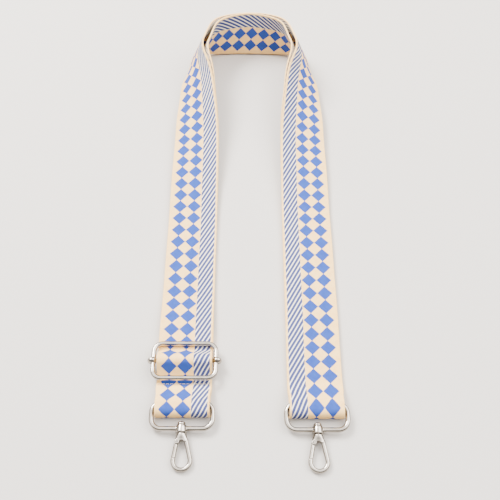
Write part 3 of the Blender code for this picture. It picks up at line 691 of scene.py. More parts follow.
def open_tree(name: str, sizes: Sequence[str],
              counts: Sequence[str]) -> tuple[Bench, bpy.types.NodeOutputs]:
    """Start a Geometry Nodes tree with named inputs, last of them the material.

    Args:
        name: The tree's name.
        sizes: The names of its real inputs.
        counts: The names of its whole inputs.

    Returns:
        The tree's bench and its inputs.
    """
    tree = bpy.data.node_groups.new(name, "GeometryNodeTree")
    kinds = [("Geometry", "Geometry")] + [(word, "Float") for word in sizes]
    kinds += [(word, "Int") for word in counts] + [("Material", "Material")]
    for word, kind in kinds:
        tree.interface.new_socket(word, in_out="INPUT", socket_type=f"NodeSocket{kind}")
    tree.interface.new_socket("Geometry", in_out="OUTPUT", socket_type="NodeSocketGeometry")
    bench = Bench(tree)
    return bench, bench.node("NodeGroupInput").outputs


def close_tree(bench: Bench, form: bpy.types.Node, material: bpy.types.NodeSocket) -> bpy.types.NodeTree:
    """End a tree with its instances made real and dressed.

    Args:
        bench: The tree's bench.
        form: The node whose geometry is the result.
        material: The tree's material input.

    Returns:
        The tree.
    """
    plain = bench.node("GeometryNodeRealizeInstances", {0: form})
    dressed = bench.node("GeometryNodeSetMaterial", {"Geometry": plain, "Material": material})
    bench.node("NodeGroupOutput", {0: dressed})
    return bench.tree


def run_nodes(thing: bpy.types.Object, tree: bpy.types.NodeTree,
              sizes: dict[str, object]) -> bpy.types.Object:
    """Run a Geometry Nodes tree on an object and keep its result as a plain mesh.

    Args:
        thing: The object that the tree starts from.
        tree: The tree.
        sizes: Its inputs by name.

    Returns:
        The same object.
    """
    change = thing.modifiers.new(tree.name, "NODES")
    change.node_group = tree
    for item in tree.interface.items_tree:
        if item.item_type == "SOCKET" and item.in_out == "INPUT" and item.name in sizes:
            change[item.identifier] = sizes[item.name]
    return finished(thing)


def loop_tree() -> bpy.types.NodeTree:
    """Return the tree that bends a wire into a rounded oblong loop."""
    bench, given = open_tree("wire_loop", ("Width", "Height", "Corner", "Wire Radius"),
                             ("Corner Steps", "Wire Sides"))
    oblong = bench.node("GeometryNodeCurvePrimitiveQuadrilateral",
                        {"Width": given["Width"], "Height": given["Height"]}, mode="RECTANGLE")
    fillet = bench.node("GeometryNodeFilletCurve", {
        "Curve": oblong, "Count": given["Corner Steps"], "Radius": given["Corner"]}, mode="POLY")
    wire = bench.swept(fillet, given["Wire Sides"], given["Wire Radius"], False)
    return close_tree(bench, wire, given["Material"])


def stitch_tree() -> bpy.types.NodeTree:
    """Return the tree that sets stitches along a line, each a bowed piece of thread."""
    bench, given = open_tree("stitch_row", ("Pitch", "Stitch Length", "Thread Radius", "Bow", "Wander"),
                             ("Seed",))
    line = bench.node("GeometryNodeMeshToCurve", {0: given["Geometry"]})
    marks = bench.node("GeometryNodeResampleCurve", {"Curve": line, "Length": given["Pitch"]},
                       mode="LENGTH")
    half, bow, wander = (Value(bench, given[name]) for name in ("Stitch Length", "Bow", "Wander"))
    start, crest, end, low, high = (bench.node("ShaderNodeCombineXYZ", parts) for parts in (
        {0: half * -0.5, 2: bow * -1}, {2: bow * 3}, {0: half * 0.5, 2: bow * -1},
        {2: wander * -1}, {2: wander}))
    arch = bench.node("GeometryNodeCurveQuadraticBezier", {
        "Resolution": 6, "Start": start, "Middle": crest, "End": end})
    thread = bench.swept(arch, 8, given["Thread Radius"], True)
    tangent = bench.node("GeometryNodeInputTangent")
    outward = bench.node("GeometryNodeInputNamedAttribute", {"Name": "outward"},
                         data_type="FLOAT_VECTOR")
    lengthwise = bench.node("FunctionNodeAlignRotationToVector", {"Vector": tangent}, axis="X")
    upright = bench.node("FunctionNodeAlignRotationToVector", {
        "Rotation": lengthwise, "Vector": outward}, axis="Z", pivot_axis="X")
    stray = bench.node("FunctionNodeRandomValue", {0: low, 1: high, "Seed": given["Seed"]},
                       data_type="FLOAT_VECTOR")
    turned_by = bench.node("FunctionNodeEulerToRotation", {0: stray})
    turn = bench.node("FunctionNodeRotateRotation", {0: upright, 1: turned_by},
                      rotation_space="LOCAL")
    row = bench.node("GeometryNodeInstanceOnPoints", {
        "Points": marks, "Instance": thread, "Rotation": turn})
    return close_tree(bench, row, given["Material"])


# The webbing's lie and route


@dataclass
class StrapLie:
    """How the doubled webbing lies, from the top of the arch down the right leg.

    Its knots are (place, bend, twist, sway): the place in metres from the top of the arch, and
    how fast the webbing bends, twists and turns in its own plane there, in radians a metre.
    The left leg mirrors the right one, and its places are negative.
    """

    knots: tuple[tuple[float, float, float, float], ...] = (
        (0.0, 19.6091, 5.682, -0.6701), (0.02, 6.5367, 12.5638, -2.0295),
        (0.04, 45.8484, 19.7286, -2.1088), (0.06, 17.137, -5.5074, -1.966),
        (0.08, 6.2658, 24.2035, -0.9313), (0.1, -2.5604, 7.8333, 1.4863),
        (0.125, 3.1787, 10.5918, 1.1372), (0.15, -4.1637, 4.4149, 0.5328),
        (0.18, 0.1008, 4.5097, -0.1913), (0.22, -2.3821, 1.1045, -0.1664),
        (0.27, 0.0, 0.0, 0.0))
    lean_deg: float = 21.24464
    ease: float = 0.0042688
    arch_reach: float = 0.12
    length: float = 0.41
    step: float = 0.001
    least_angle: float = 1e-15
    middle_x: float = 0.0

    def __post_init__(self) -> None:
        """Work out the frames along the leg."""
        self.places = np.arange(0, self.length + self.step, self.step)
        self.points, frames = self.integrate()
        self.out = frames[:, :, 1]
        self.across = frames[:, :, 2]

    def integrate(self) -> tuple[np.ndarray, np.ndarray]:
        """Roll the frame along the webbing and sum its steps.

        Returns:
            Points and frames at every place.
        """
        middle = (self.places[1:] + self.places[:-1]) / 2
        at, bends, twists, sways = np.array(self.knots).T
        bend, twist, sway = (np.interp(middle, at, values) for values in (bends, twists, sways))
        lean = math.radians(self.lean_deg)
        across = np.array([0, math.sin(lean), math.cos(lean)])
        along = np.array([1.0, 0, 0])
        frame = np.stack([along, np.cross(across, along), across], axis=1)
        frames = [frame]
        for turn in np.stack([twist, sway, -bend], axis=1) * self.step:
            frame = frame @ self.small_turn(turn)
            frames.append(frame)
        stacked = np.array(frames)
        steps = (stacked[1:, :, 0] + stacked[:-1, :, 0]) / 2 * self.step
        return np.vstack([np.zeros(3), np.cumsum(steps, axis=0)]), stacked

    def small_turn(self, turn: np.ndarray) -> np.ndarray:
        """Return the rotation of one step about the directions along, out and across."""
        angle = float(np.linalg.norm(turn)) + self.least_angle
        x, y, z = turn / angle
        cross = np.array([[0, -z, y], [z, 0, -x], [-y, x, 0]])
        return np.eye(3) + math.sin(angle) * cross + (1 - math.cos(angle)) * cross @ cross

    def settle_on(self, place: float, height: float, spot: Vector) -> None:
        """Shift the lie so that a point over the middle line comes to a given spot."""
        here = self.world(np.array([place]), np.array([height]), np.array([0.0]))[0]
        self.points = self.points + (np.array(spot) - here)
        self.middle_x = float(self.points[0, 0])

    def world(self, place: np.ndarray, height: np.ndarray, side: np.ndarray) -> np.ndarray:
        """Return points at places, heights above the middle line and sides across.

        Args:
            place: Distances from the top of the arch, negative on the left leg.
            height: Heights over the middle line.
            side: Distances across from the middle of the width.

        Returns:
            One row of x, y and z for each.
        """
        here = np.abs(place) + self.ease * np.minimum(np.abs(place) / self.arch_reach, 1)
        total = np.zeros((len(place), 3))
        for axis in range(3):
            point = np.interp(here, self.places, self.points[:, axis])
            out = np.interp(here, self.places, self.out[:, axis])
            across = np.interp(here, self.places, self.across[:, axis])
            total[:, axis] = point + height * out + side * across
        left = place < 0
        total[left, 0] = 2 * self.middle_x - total[left, 0]
        return total


class Layer(Enum):
    """The four stretches of the route that pass a place on a leg."""

    RING_TAB = 0
    OUTER = 1
    INNER = 2
    BAR_TAB = 3


@dataclass
class WebbingRoute:
    """The way of the one length of webbing through ring, slider, arch and ring again.

    Its points are (place along a leg, height over the middle line). It starts at the end
    that is sewn behind the left ring and ends at the one sewn behind the slider's bar.
    """

    width: float = 0.038
    thickness: float = 0.0015
    layer_gap: float = 0.0003
    left_axis: float = 0.3859
    right_axis: float = 0.3866
    slider_to_ring: float = 0.0312
    crown_parting: float = 0.0007
    crown_spread: float = 0.035
    corner_parting: float = 0.0032
    corner_place: float = 0.056
    corner_spread: float = 0.062
    bar_tab: float = 0.024
    ring_tab: float = 0.0165
    stack_rise: float = 0.03
    stack_lead: float = 0.004
    axis_offset: float = 0.0016
    ring_wire: float = 0.0034
    fold_clearance: float = 0.0004
    fold_slack: float = 0.0035
    fold_ramp_deg: float = 25.0
    fold_foot: float = 0.016
    slider_wire: float = 0.0034
    bar_diameter: float = 0.003
    seat_gap: float = 0.0003
    slider_ramp_deg: float = 48.0
    slider_foot: float = 0.003
    slider_return_deg: float = 30.0
    pinch: float = 0.0014
    pinch_reach: float = 0.006
    pinch_fade: float = 0.006
    arc_step_deg: float = 5.0
    run_step: float = 0.0016
    least_step: float = 0.00015

    def __post_init__(self) -> None:
        """Work out the levels of the layers and the radii of the folds."""
        self.layer_step = self.thickness + self.layer_gap
        self.lowest = self.thickness / 2
        self.second = self.lowest + self.layer_step
        self.third = self.second + self.layer_step
        self.middle = self.lowest + self.layer_step / 2
        self.slider_place = self.left_axis - self.slider_to_ring
        self.slider_height = self.third + self.thickness / 2 + self.seat_gap + self.slider_wire / 2
        self.wrap_radius = self.bar_diameter / 2 + self.layer_gap + self.thickness / 2
        self.hump_radius = self.wrap_radius + self.layer_step
        self.fold_radius = (self.axis_offset + self.ring_wire / 2 + self.fold_clearance
                            + self.thickness / 2)
        self.fold_height = self.lowest + self.fold_radius
        self.points = self.whole()
        steps = np.linalg.norm(np.diff(self.points, axis=0), axis=1)
        self.lengths = np.concatenate([[0.0], np.cumsum(steps)])

    def rows(self, layer: Layer) -> slice:
        """Return the route points of one stretch."""
        places = self.points[:, 0]
        ring_tip, far_tip = int(np.argmin(places)), int(np.argmax(places))
        bar_tip = far_tip + int(np.argmin(places[far_tip:]))
        ends = [0, ring_tip, far_tip, bar_tip, len(places)]
        return slice(ends[layer.value], ends[layer.value + 1])

    def at_place(self, values: np.ndarray, place: float, layer: Layer) -> float:
        """Return a value of the route where one stretch passes a place."""
        places = self.points[self.rows(layer), 0]
        order = np.argsort(places)
        return float(np.interp(place, places[order], values[self.rows(layer)][order]))

    def length_at(self, place: float, layer: Layer) -> float:
        """Return the length from the start where one stretch passes a place."""
        return self.at_place(self.lengths, place, layer)

    def height_at(self, place: float, layer: Layer) -> float:
        """Return the height over the middle line where one stretch passes a place."""
        return self.at_place(self.points[:, 1], place, layer)

    def width_share(self, place: np.ndarray) -> np.ndarray:
        """Return the share of the full width at places, less where a ring draws it in."""
        axis = np.where(place < 0, self.left_axis, self.right_axis)
        ease = np.clip((np.abs(place) - axis + self.pinch_reach + self.pinch_fade) / self.pinch_fade,
                       0, 1)
        return 1 - ease * ease * (3 - 2 * ease) * self.pinch / self.width

    def rounded(self, corners: Sequence[tuple[float, float, float]]) -> list[np.ndarray]:
        """Round the corners of a path of (place, height, radius) with arcs."""
        path = [np.array(corners[0][:2])]
        for before, corner, after in zip(corners, corners[1:], corners[2:]):
            here = np.array(corner[:2])
            inward = np.array(before[:2]) - here
            onward = np.array(after[:2]) - here
            inward = inward / np.linalg.norm(inward)
            onward = onward / np.linalg.norm(onward)
            radius = corner[2]
            half = math.acos(max(-1.0, min(1.0, float(inward @ onward)))) / 2
            start = here + inward * radius / math.tan(half)
            end = here + onward * radius / math.tan(half)
            half_way = (inward + onward) / np.linalg.norm(inward + onward)
            middle = here + half_way * radius / math.sin(half)
            sweep = math.pi - 2 * half
            steps = max(1, math.ceil(math.degrees(sweep) / self.arc_step_deg))
            self.run_to(path, start)
            for index in range(1, steps + 1):
                angle = sweep * index / steps
                share = (math.sin(sweep - angle) * (start - middle)
                         + math.sin(angle) * (end - middle)) / math.sin(sweep)
                path.append(middle + share)
        self.run_to(path, np.array(corners[-1][:2]))
        return path

    def run_to(self, path: list[np.ndarray], goal: np.ndarray) -> None:
        """Add even steps along a straight run to a goal."""
        start = path[-1]
        count = max(1, math.ceil(np.linalg.norm(goal - start) / self.run_step))
        path.extend(start + (goal - start) * step / count for step in range(1, count + 1))

    def from_middle(self, corners: Sequence[Sequence[float]]) -> list[tuple[float, float, float]]:
        """Return corners with their heights over the middle line instead of the floor."""
        return [(place, height - self.middle, radius) for place, height, radius in corners]

    def outer_height(self, place: float) -> float:
        """Height of the outer layer, which climbs over the slider's tab."""
        tab_end = self.slider_place - self.bar_tab - self.stack_lead
        climbed = smooth_share((-place - tab_end + self.stack_rise) / self.stack_rise)
        return self.layer_step / 2 + self.layer_step * climbed

    def inner_height(self, place: float) -> float:
        """Height of the inner layer, which parts from the outer one in the arch."""
        away = abs(place)
        corner = min(1.0, abs(away - self.corner_place) / self.corner_spread)
        crown = min(1.0, away / self.crown_spread)
        parting = (self.corner_parting * (1 + math.cos(math.pi * corner)) / 2
                   + self.crown_parting * (1 + math.cos(math.pi * crown)) / 2)
        return self.outer_height(place) - self.layer_step - parting

    def ring_fold(self, axis_place: float, tab_place: float) -> list[tuple[float, float, float]]:
        """Return the corners of the fold round a ring, from the layer above to the tab's end."""
        ramp = math.radians(self.fold_ramp_deg)
        top = self.fold_height + self.fold_radius
        crest = axis_place - self.fold_radius * math.tan(ramp / 2)
        foot = crest - (top - self.second) / math.tan(ramp)
        tip = axis_place + self.fold_slack + self.fold_radius
        corners = [(foot, self.second, self.fold_foot), (crest, top, self.fold_radius),
                   (tip, top, self.fold_radius), (tip, self.lowest, self.fold_radius),
                   (tab_place, self.lowest, 0.0)]
        return self.from_middle(corners)

    def slider_hump(self, run_place: float) -> list[tuple[float, float, float]]:
        """Return the corners of the outer layer over the slider's bar."""
        ramp = math.radians(self.slider_ramp_deg)
        top = self.slider_height + self.hump_radius
        half = self.hump_radius * math.tan(ramp / 2)
        near = self.slider_place - half - (top - self.third) / math.tan(ramp)
        far = self.slider_place + half + (top - self.second) / math.tan(ramp)
        corners = [(run_place, self.third, 0.0), (near, self.third, self.slider_foot),
                   (self.slider_place - half, top, self.hump_radius),
                   (self.slider_place + half, top, self.hump_radius),
                   (far, self.second, self.slider_foot)]
        return self.from_middle(corners)

    def slider_wrap(self, run_place: float) -> list[tuple[float, float, float]]:
        """Return the corners of the inner layer round the slider's bar to its sewn end."""
        ramp, back = math.radians(self.slider_ramp_deg), math.radians(self.slider_return_deg)
        top = self.slider_height + self.wrap_radius
        half = self.wrap_radius * math.tan(ramp / 2)
        near = self.slider_place - half - (top - self.second) / math.tan(ramp)
        low_turn = self.slider_place + self.wrap_radius
        low_height = self.slider_height - self.wrap_radius * math.tan(math.pi / 4 - back / 2)
        touch = low_turn - (low_height - self.lowest) / math.tan(back)
        corners = [(run_place, self.second, 0.0), (near, self.second, self.slider_foot),
                   (self.slider_place - half, top, self.wrap_radius),
                   (low_turn, top, self.wrap_radius), (low_turn, low_height, self.wrap_radius),
                   (touch, self.lowest, self.slider_foot),
                   (self.slider_place - self.bar_tab, self.lowest, 0.0)]
        return self.from_middle(corners)

    def whole(self) -> np.ndarray:
        """Return the whole route, from sewn end to sewn end."""
        left_start = self.slider_place - self.bar_tab
        right_end = self.right_axis - self.ring_tab - self.fold_radius
        left_fold = self.ring_fold(self.left_axis, self.left_axis - self.ring_tab)
        left_leg = self.rounded(self.slider_hump(left_start) + left_fold)
        right_fold = self.ring_fold(self.right_axis, right_end)
        right_turn = self.rounded([(right_end, self.second - self.middle, 0.0)] + right_fold)
        wrap = self.rounded(self.slider_wrap(left_start))
        count = math.ceil((left_start + right_end) / self.run_step)
        places = np.linspace(-left_start, right_end, count)[1:-1]
        outer = [np.array([place, self.outer_height(place)]) for place in places]
        inner = [np.array([place, self.inner_height(place)]) for place in places[::-1]]
        mirrored = [np.array([-place, height]) for place, height in reversed(left_leg)]
        wrapped = [np.array([-place, height]) for place, height in wrap]
        route: list[np.ndarray] = []
        for point in mirrored + outer + right_turn + inner + wrapped:
            if not route or np.linalg.norm(point - route[-1]) > self.least_step:
                route.append(point)
        return np.array(route)


class Side(Enum):
    """The two legs of the strap, with their direction along X."""

    LEFT = -1
    RIGHT = 1

    @property
    def word(self) -> str:
        """The side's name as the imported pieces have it."""
        return self.name.lower()


@dataclass
class Packed:
    """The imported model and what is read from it."""

    frame: dict

    def joint(self, name: str) -> dict:
        """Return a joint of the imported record."""
        return next(joint for joint in self.frame["joints"] if joint["name"] == name)

    def pose(self, place_joint: str, along_joint: str) -> Matrix:
        """Return a frame at a joint, in the plane of the rings.

        Args:
            place_joint: The joint whose place is the origin.
            along_joint: The joint whose axis is the direction of Y.

        Returns:
            The frame as a matrix.
        """
        tilt = Vector(self.joint("right_hook_swivel")["axis"]).normalized()
        lift = Vector((1, 0, 0)).cross(tilt).normalized()
        ahead = Vector(self.joint(along_joint)["axis"]).normalized()
        side = ahead.cross(lift).normalized()
        turn = Matrix((side, ahead, lift)).transposed().to_4x4()
        return Matrix.Translation(Vector(self.joint(place_joint)["pos_m"])) @ turn

    def middle_of(self, node: str) -> Vector:
        """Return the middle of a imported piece's box."""
        low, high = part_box(node)
        return (low + high) / 2


def hand_over(piece: bpy.types.Object, body: str, node: Optional[str]) -> bpy.types.Object:
    """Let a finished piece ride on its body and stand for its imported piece.

    Args:
        piece: The finished piece.
        body: The body that it moves with.
        node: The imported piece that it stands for, if any.

    Returns:
        The piece.
    """
    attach(piece, body)
    if node:
        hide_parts(node)
    LOG.info("%s: %d faces on %s", piece.name, len(piece.data.polygons), body)
    return piece


# Webbing and its seams


@dataclass
class Webbing:
    """The one length of jacquard webbing, with rolled selvages."""

    lie: StrapLie
    route: WebbingRoute
    finish: JacquardWeave
    bead: float = 0.0007
    edge_shares: tuple[Point, ...] = (
        (0.0, 0.0), (0.06, 0.42), (0.28, 0.8), (0.7, 1.0), (1.15, 0.96), (1.6, 0.88), (2.2, 0.98))
    edge_beads: float = 3.0
    body_step: float = 0.0021
    sway: float = 0.00012
    sway_waves: tuple[tuple[float, float, float], ...] = ((1.0, 41.0, 0.0), (0.6, 97.0, 1.3))
    smooth_deg: float = 50.0
    seam_press: float = 0.00025
    seam_width: float = 0.0011
    floor_gap: float = 0.00002
    inner_shear: float = 0.136
    shear_half: float = 0.055
    shear_fade: float = 0.05
    outer_anchor_left: float = -0.286
    outer_anchor_right: float = 0.276
    outer_phase_left: float = 0.005036
    outer_phase_right: float = 0.007136
    inner_phase: float = 0.00197
    arch_half: float = 0.06
    inner_change_start: float = 0.33
    inner_change_end: float = 0.13
    left_marks: tuple[Point, ...] = (
        (-0.3945, -0.5), (-0.3912, 0.3), (-0.3855, 0.6), (-0.3811, 0.9), (-0.3758, 0.3),
        (-0.3691, -0.6), (-0.3643, -1.4), (-0.3604, -1.7), (-0.3551, -1.4), (-0.3499, -1.5),
        (-0.345, -2.5), (-0.3355, -2.1), (-0.3243, -1.35), (-0.3146, -0.95), (-0.3034, -0.55),
        (-0.286, 0.0))
    right_marks: tuple[Point, ...] = (
        (0.12, 1.4), (0.18, 1.2), (0.276, 0.0), (0.332, 0.0), (0.3427, 0.65), (0.3538, 1.0),
        (0.3641, 1.5), (0.3696, 1.45), (0.3767, -0.5), (0.3829, -1.8), (0.391, -3.4))

    def section(self) -> list[tuple[float, float, float]]:
        """Return the cross-section as (side, height, wrong side) points, once round."""
        half, thick = self.route.width / 2, self.route.thickness / 2
        edge = [(side * self.bead, height * thick) for side, height in self.edge_shares]
        inner = half - self.edge_beads * self.bead
        count = math.ceil(2 * inner / self.body_step)
        body = [(-inner + 2 * inner * step / count, thick) for step in range(count + 1)]
        face = [(-half + side, height) for side, height in edge] + body
        face += [(half - side, height) for side, height in reversed(edge)]
        top = [(side, height, 0.0) for side, height in face]
        below = [(side, -height, 1.0) for side, height in reversed(face[1:-1])]
        return top + below

    def cloth_lengths(self) -> np.ndarray:
        """Return the length along the cloth at each route point, in step with the weave."""
        pitch = self.finish.pitch / MILLIMETRES
        length_at = self.route.length_at

        def wrapped(value: float) -> float:
            """Return the least shift that keeps the weave in step."""
            return (value + pitch / 2) % pitch - pitch / 2

        left, right = self.outer_anchor_left, self.outer_anchor_right
        first = wrapped(left - self.outer_phase_left - length_at(left, Layer.OUTER))
        ahead = right - self.outer_phase_right - length_at(right, Layer.OUTER)
        second = first + wrapped(ahead - first)
        last = second + self.right_marks[-1][1] / MILLIMETRES
        third = last + wrapped(self.inner_phase - length_at(0.0, Layer.INNER) - last)
        marks = [(length_at(place, Layer.OUTER), first + extra / MILLIMETRES)
                 for place, extra in self.left_marks]
        marks += [(length_at(-self.arch_half, Layer.OUTER), first),
                  (length_at(self.arch_half, Layer.OUTER), second)]
        marks += [(length_at(place, Layer.OUTER), second + extra / MILLIMETRES)
                  for place, extra in self.right_marks]
        marks += [(length_at(self.inner_change_start, Layer.INNER), last),
                  (length_at(self.inner_change_end, Layer.INNER), third)]
        lengths, shifts = zip(*marks)
        return self.route.lengths + np.interp(self.route.lengths, lengths, shifts)

    def pressed(self, seam_place: float) -> np.ndarray:
        """Return how far the ring's seam draws the outer layer down, at each route point."""
        rows = self.route.rows(Layer.OUTER)
        offset = (self.route.points[:, 0] + seam_place) / self.seam_width
        press = np.zeros(len(offset))
        press[rows] = self.seam_press * np.exp(-offset[rows] ** 2)
        return press

    def build(self, material: bpy.types.Material, seam_place: float) -> bpy.types.Object:
        """Make the webbing.

        Args:
            material: The woven finish.
            seam_place: Where the ring's seam crosses the left leg.

        Returns:
            The finished piece.
        """
        points = self.route.points
        before = np.vstack([2 * points[0] - points[1], points[:-1]])
        after = np.vstack([points[1:], 2 * points[-1] - points[-2]])
        along = after - before
        along /= np.linalg.norm(along, axis=1)[:, None]
        outward = np.stack([-along[:, 1], along[:, 0]], axis=1)
        section = self.section()
        side, lift, wrong_side = np.array(section).T
        rows, columns = len(points), len(section)
        cloth = self.cloth_lengths()
        sway = self.sway * sum(share * np.sin(cloth * rate + shift)
                               for share, rate, shift in self.sway_waves)
        place = points[:, :1] + outward[:, :1] * lift[None, :]
        press = self.pressed(seam_place)[:, None] * (lift[None, :] > 0)
        height = points[:, 1:] + outward[:, 1:] * lift[None, :] - press
        across = side[None, :] * self.route.width_share(points[:, 0])[:, None] + sway[:, None]
        corners = self.lie.world(place.ravel(), height.ravel(), across.ravel())
        sunk = self.floor_gap - corners[:, 2].reshape(rows, columns).min(axis=1)
        corners[:, 2] += np.repeat(np.maximum(sunk, 0), columns)
        row, column = np.meshgrid(np.arange(rows - 1), np.arange(columns), indexing="ij")
        following = (column + 1) % columns
        faces = np.stack([row * columns + column, (row + 1) * columns + column,
                          (row + 1) * columns + following, row * columns + following], axis=-1)
        faces = faces.reshape(-1, 4).tolist()
        faces.append(list(range(columns)))
        faces.append(list(range((rows - 1) * columns, rows * columns))[::-1])
        mesh = bpy.data.meshes.new("webbing_cloth")
        mesh.from_pydata(corners.tolist(), [], faces)
        self.add_map(mesh, side, cloth, self.sheared(), columns)
        wrong = mesh.attributes.new(self.finish.side_name, "FLOAT", "POINT")
        wrong.data.foreach_set("value", np.tile(wrong_side, rows).astype(np.float32))
        self.face_outwards(mesh)
        mesh.materials.append(material)
        smooth_below(mesh, self.smooth_deg)
        return new_object("webbing_cloth", mesh)

    def sheared(self) -> np.ndarray:
        """Return the shear of the inner layer's weave, which fades out of the arch."""
        rows = self.route.rows(Layer.INNER)
        away = np.abs(self.route.points[:, 0])
        shear = np.zeros(len(away))
        fade = (self.shear_half - away[rows]) / self.shear_fade + 1
        shear[rows] = self.inner_shear * np.clip(fade, 0, 1)
        return shear

    def add_map(self, mesh: bpy.types.Mesh, side: np.ndarray, cloth: np.ndarray, shear: np.ndarray,
                columns: int) -> None:
        """Give the mesh its map in metres: across from the diamond edge, and along the cloth."""
        layer = mesh.uv_layers.new(name=self.finish.map_name)
        corner_vertex = np.zeros(len(mesh.loops), dtype=np.int32)
        mesh.loops.foreach_get("vertex_index", corner_vertex)
        spots = np.zeros((len(mesh.loops), 2), dtype=np.float32)
        spots[:, 0] = side[corner_vertex % columns] + self.route.width / 2
        row = corner_vertex // columns
        spots[:, 1] = cloth[row] + shear[row] * side[corner_vertex % columns]
        layer.data.foreach_set("uv", spots.ravel())

    def face_outwards(self, mesh: bpy.types.Mesh) -> None:
        """Turn all faces outwards."""
        form = bmesh.new()
        form.from_mesh(mesh)
        if form.calc_volume(signed=True) < 0:
            bmesh.ops.reverse_faces(form, faces=form.faces)
        form.to_mesh(mesh)
        form.free()


@dataclass(frozen=True)
class StitchRow:
    """One row of stitches across the left leg, on one face of one layer."""

    place: float
    layer: Layer
    upward: bool


@dataclass
class Seams:
    """Rows of stitches that hold the two sewn ends."""

    lie: StrapLie
    route: WebbingRoute
    tree: bpy.types.NodeTree
    thread: bpy.types.Material
    ring_seam_place: float = 0.3706
    bar_seam_places: tuple[float, float] = (0.3325, 0.3375)
    pitch: float = 0.0026
    stitch: float = 0.0021
    thread_radius: float = 0.00017
    bow: float = 0.00012
    wander: float = 0.05
    edge_margin: float = 0.0022
    stand: float = 0.00005
    points: int = 40
    tab_shift: float = 0.00068
    ring_seed: int = 3
    bar_seed: int = 5
    smooth_deg: float = 60.0

    def line(self, row: StitchRow) -> tuple[np.ndarray, np.ndarray]:
        """Return a row's points across the left leg and their outward directions."""
        half = self.route.width / 2 - self.edge_margin
        sides = np.linspace(-half, half, self.points)
        places = np.full(self.points, -row.place)
        middle = self.route.height_at(-row.place, row.layer)
        sign = 1 if row.upward else -1
        sunk = 0.0 if row.upward else self.bow + self.thread_radius - self.stand
        height = middle + sign * (self.route.thickness / 2 - sunk)
        here = self.lie.world(places, np.full(self.points, height), sides)
        beyond = self.lie.world(places, np.full(self.points, height + sign * self.bow), sides)
        return here, (beyond - here) / self.bow

    def build(self, name: str, rows: Sequence[StitchRow], seed: int) -> bpy.types.Object:
        """Make one seam.

        Args:
            name: The piece's name.
            rows: The seam's rows.
            seed: The seed of the stitches' wander.

        Returns:
            The finished piece.
        """
        corners, edges, outward = [], [], []
        for row in rows:
            here, directions = self.line(row)
            first = len(corners)
            corners += here.tolist()
            outward += directions.tolist()
            edges += [(first + index, first + index + 1) for index in range(self.points - 1)]
        mesh = bpy.data.meshes.new(name)
        mesh.from_pydata(corners, edges, [])
        stored = mesh.attributes.new("outward", "FLOAT_VECTOR", "POINT")
        stored.data.foreach_set("vector", np.array(outward, dtype=np.float32).ravel())
        seam = run_nodes(new_object(name, mesh), self.tree, {
            "Pitch": self.pitch, "Stitch Length": self.stitch, "Thread Radius": self.thread_radius,
            "Bow": self.bow, "Wander": self.wander, "Seed": seed, "Material": self.thread})
        smooth_below(seam.data, self.smooth_deg)
        return seam


# Fittings


@dataclass(frozen=True)
class WireLoop:
    """A rounded oblong of bent wire."""

    width: float
    height: float
    corner: float
    wire: float
    sides: int
    corner_steps: int = 20

    def build(self, name: str, tree: bpy.types.NodeTree,
              material: bpy.types.Material) -> bpy.types.Object:
        """Bend the wire with the loop's tree, about the origin."""
        return run_nodes(new_object(name), tree, {
            "Width": self.width, "Height": self.height, "Corner": self.corner,
            "Wire Radius": self.wire / 2, "Corner Steps": self.corner_steps,
            "Wire Sides": self.sides, "Material": material})


@dataclass
class Slider:
    """The oblong slider frame and the loose bar whose eyes ride on its sides."""

    centre: Vector
    loop: WireLoop = WireLoop(0.0432, 0.0258, 0.006, 0.0034, 40)
    smooth_deg: float = 40.0
    bar: float = 0.003
    eye_bore: float = 0.0039
    eye_length: float = 0.0044
    eye_diameter: float = 0.0066
    eye_end: float = 0.0044
    eye_band: float = 0.0012
    eye_offset: float = 0.00085
    eye_ease: float = 0.0009
    voxel: float = 0.00014
    rounds: int = 6
    sides: int = 40
    eye_sides: int = 48

    def build_frame(self, tree: bpy.types.NodeTree, material: bpy.types.Material) -> bpy.types.Object:
        """Make the frame."""
        thing = self.loop.build("slider_wire_frame", tree, material)
        thing.data.transform(Matrix.Translation(self.centre))
        smooth_below(thing.data, self.smooth_deg)
        return thing

    def build_bar(self, material: bpy.types.Material) -> bpy.types.Object:
        """Make the bar with its two eyes."""
        side = self.loop.width / 2
        reach = Vector((side - self.eye_bore / 2, 0, 0))
        casting = Casting("slider_middle_bar", tube([-reach, reach], self.bar / 2, self.sides))
        half, end, full, band = (size / 2 for size in (self.eye_length, self.eye_end,
                                                       self.eye_diameter, self.eye_band))
        profile = eased([(0.0, -half), (end, -half), (full, -band), (full, band), (end, half),
                         (0.0, half)], self.eye_ease, 6)
        for sign in (-1, 1):
            eye = turned(profile, self.eye_sides)
            casting.shape(moved(eye, sign * (side + self.eye_offset)), Cut.JOIN)
        casting.soften(self.voxel, self.rounds)
        drill = plain_drum(self.eye_bore / 2, -self.eye_length, self.eye_length)
        for sign in (-1, 1):
            casting.shape(moved(turned(drill, self.eye_sides), sign * side), Cut.REMOVE)
        return casting.placed(Matrix.Translation(self.centre), material)


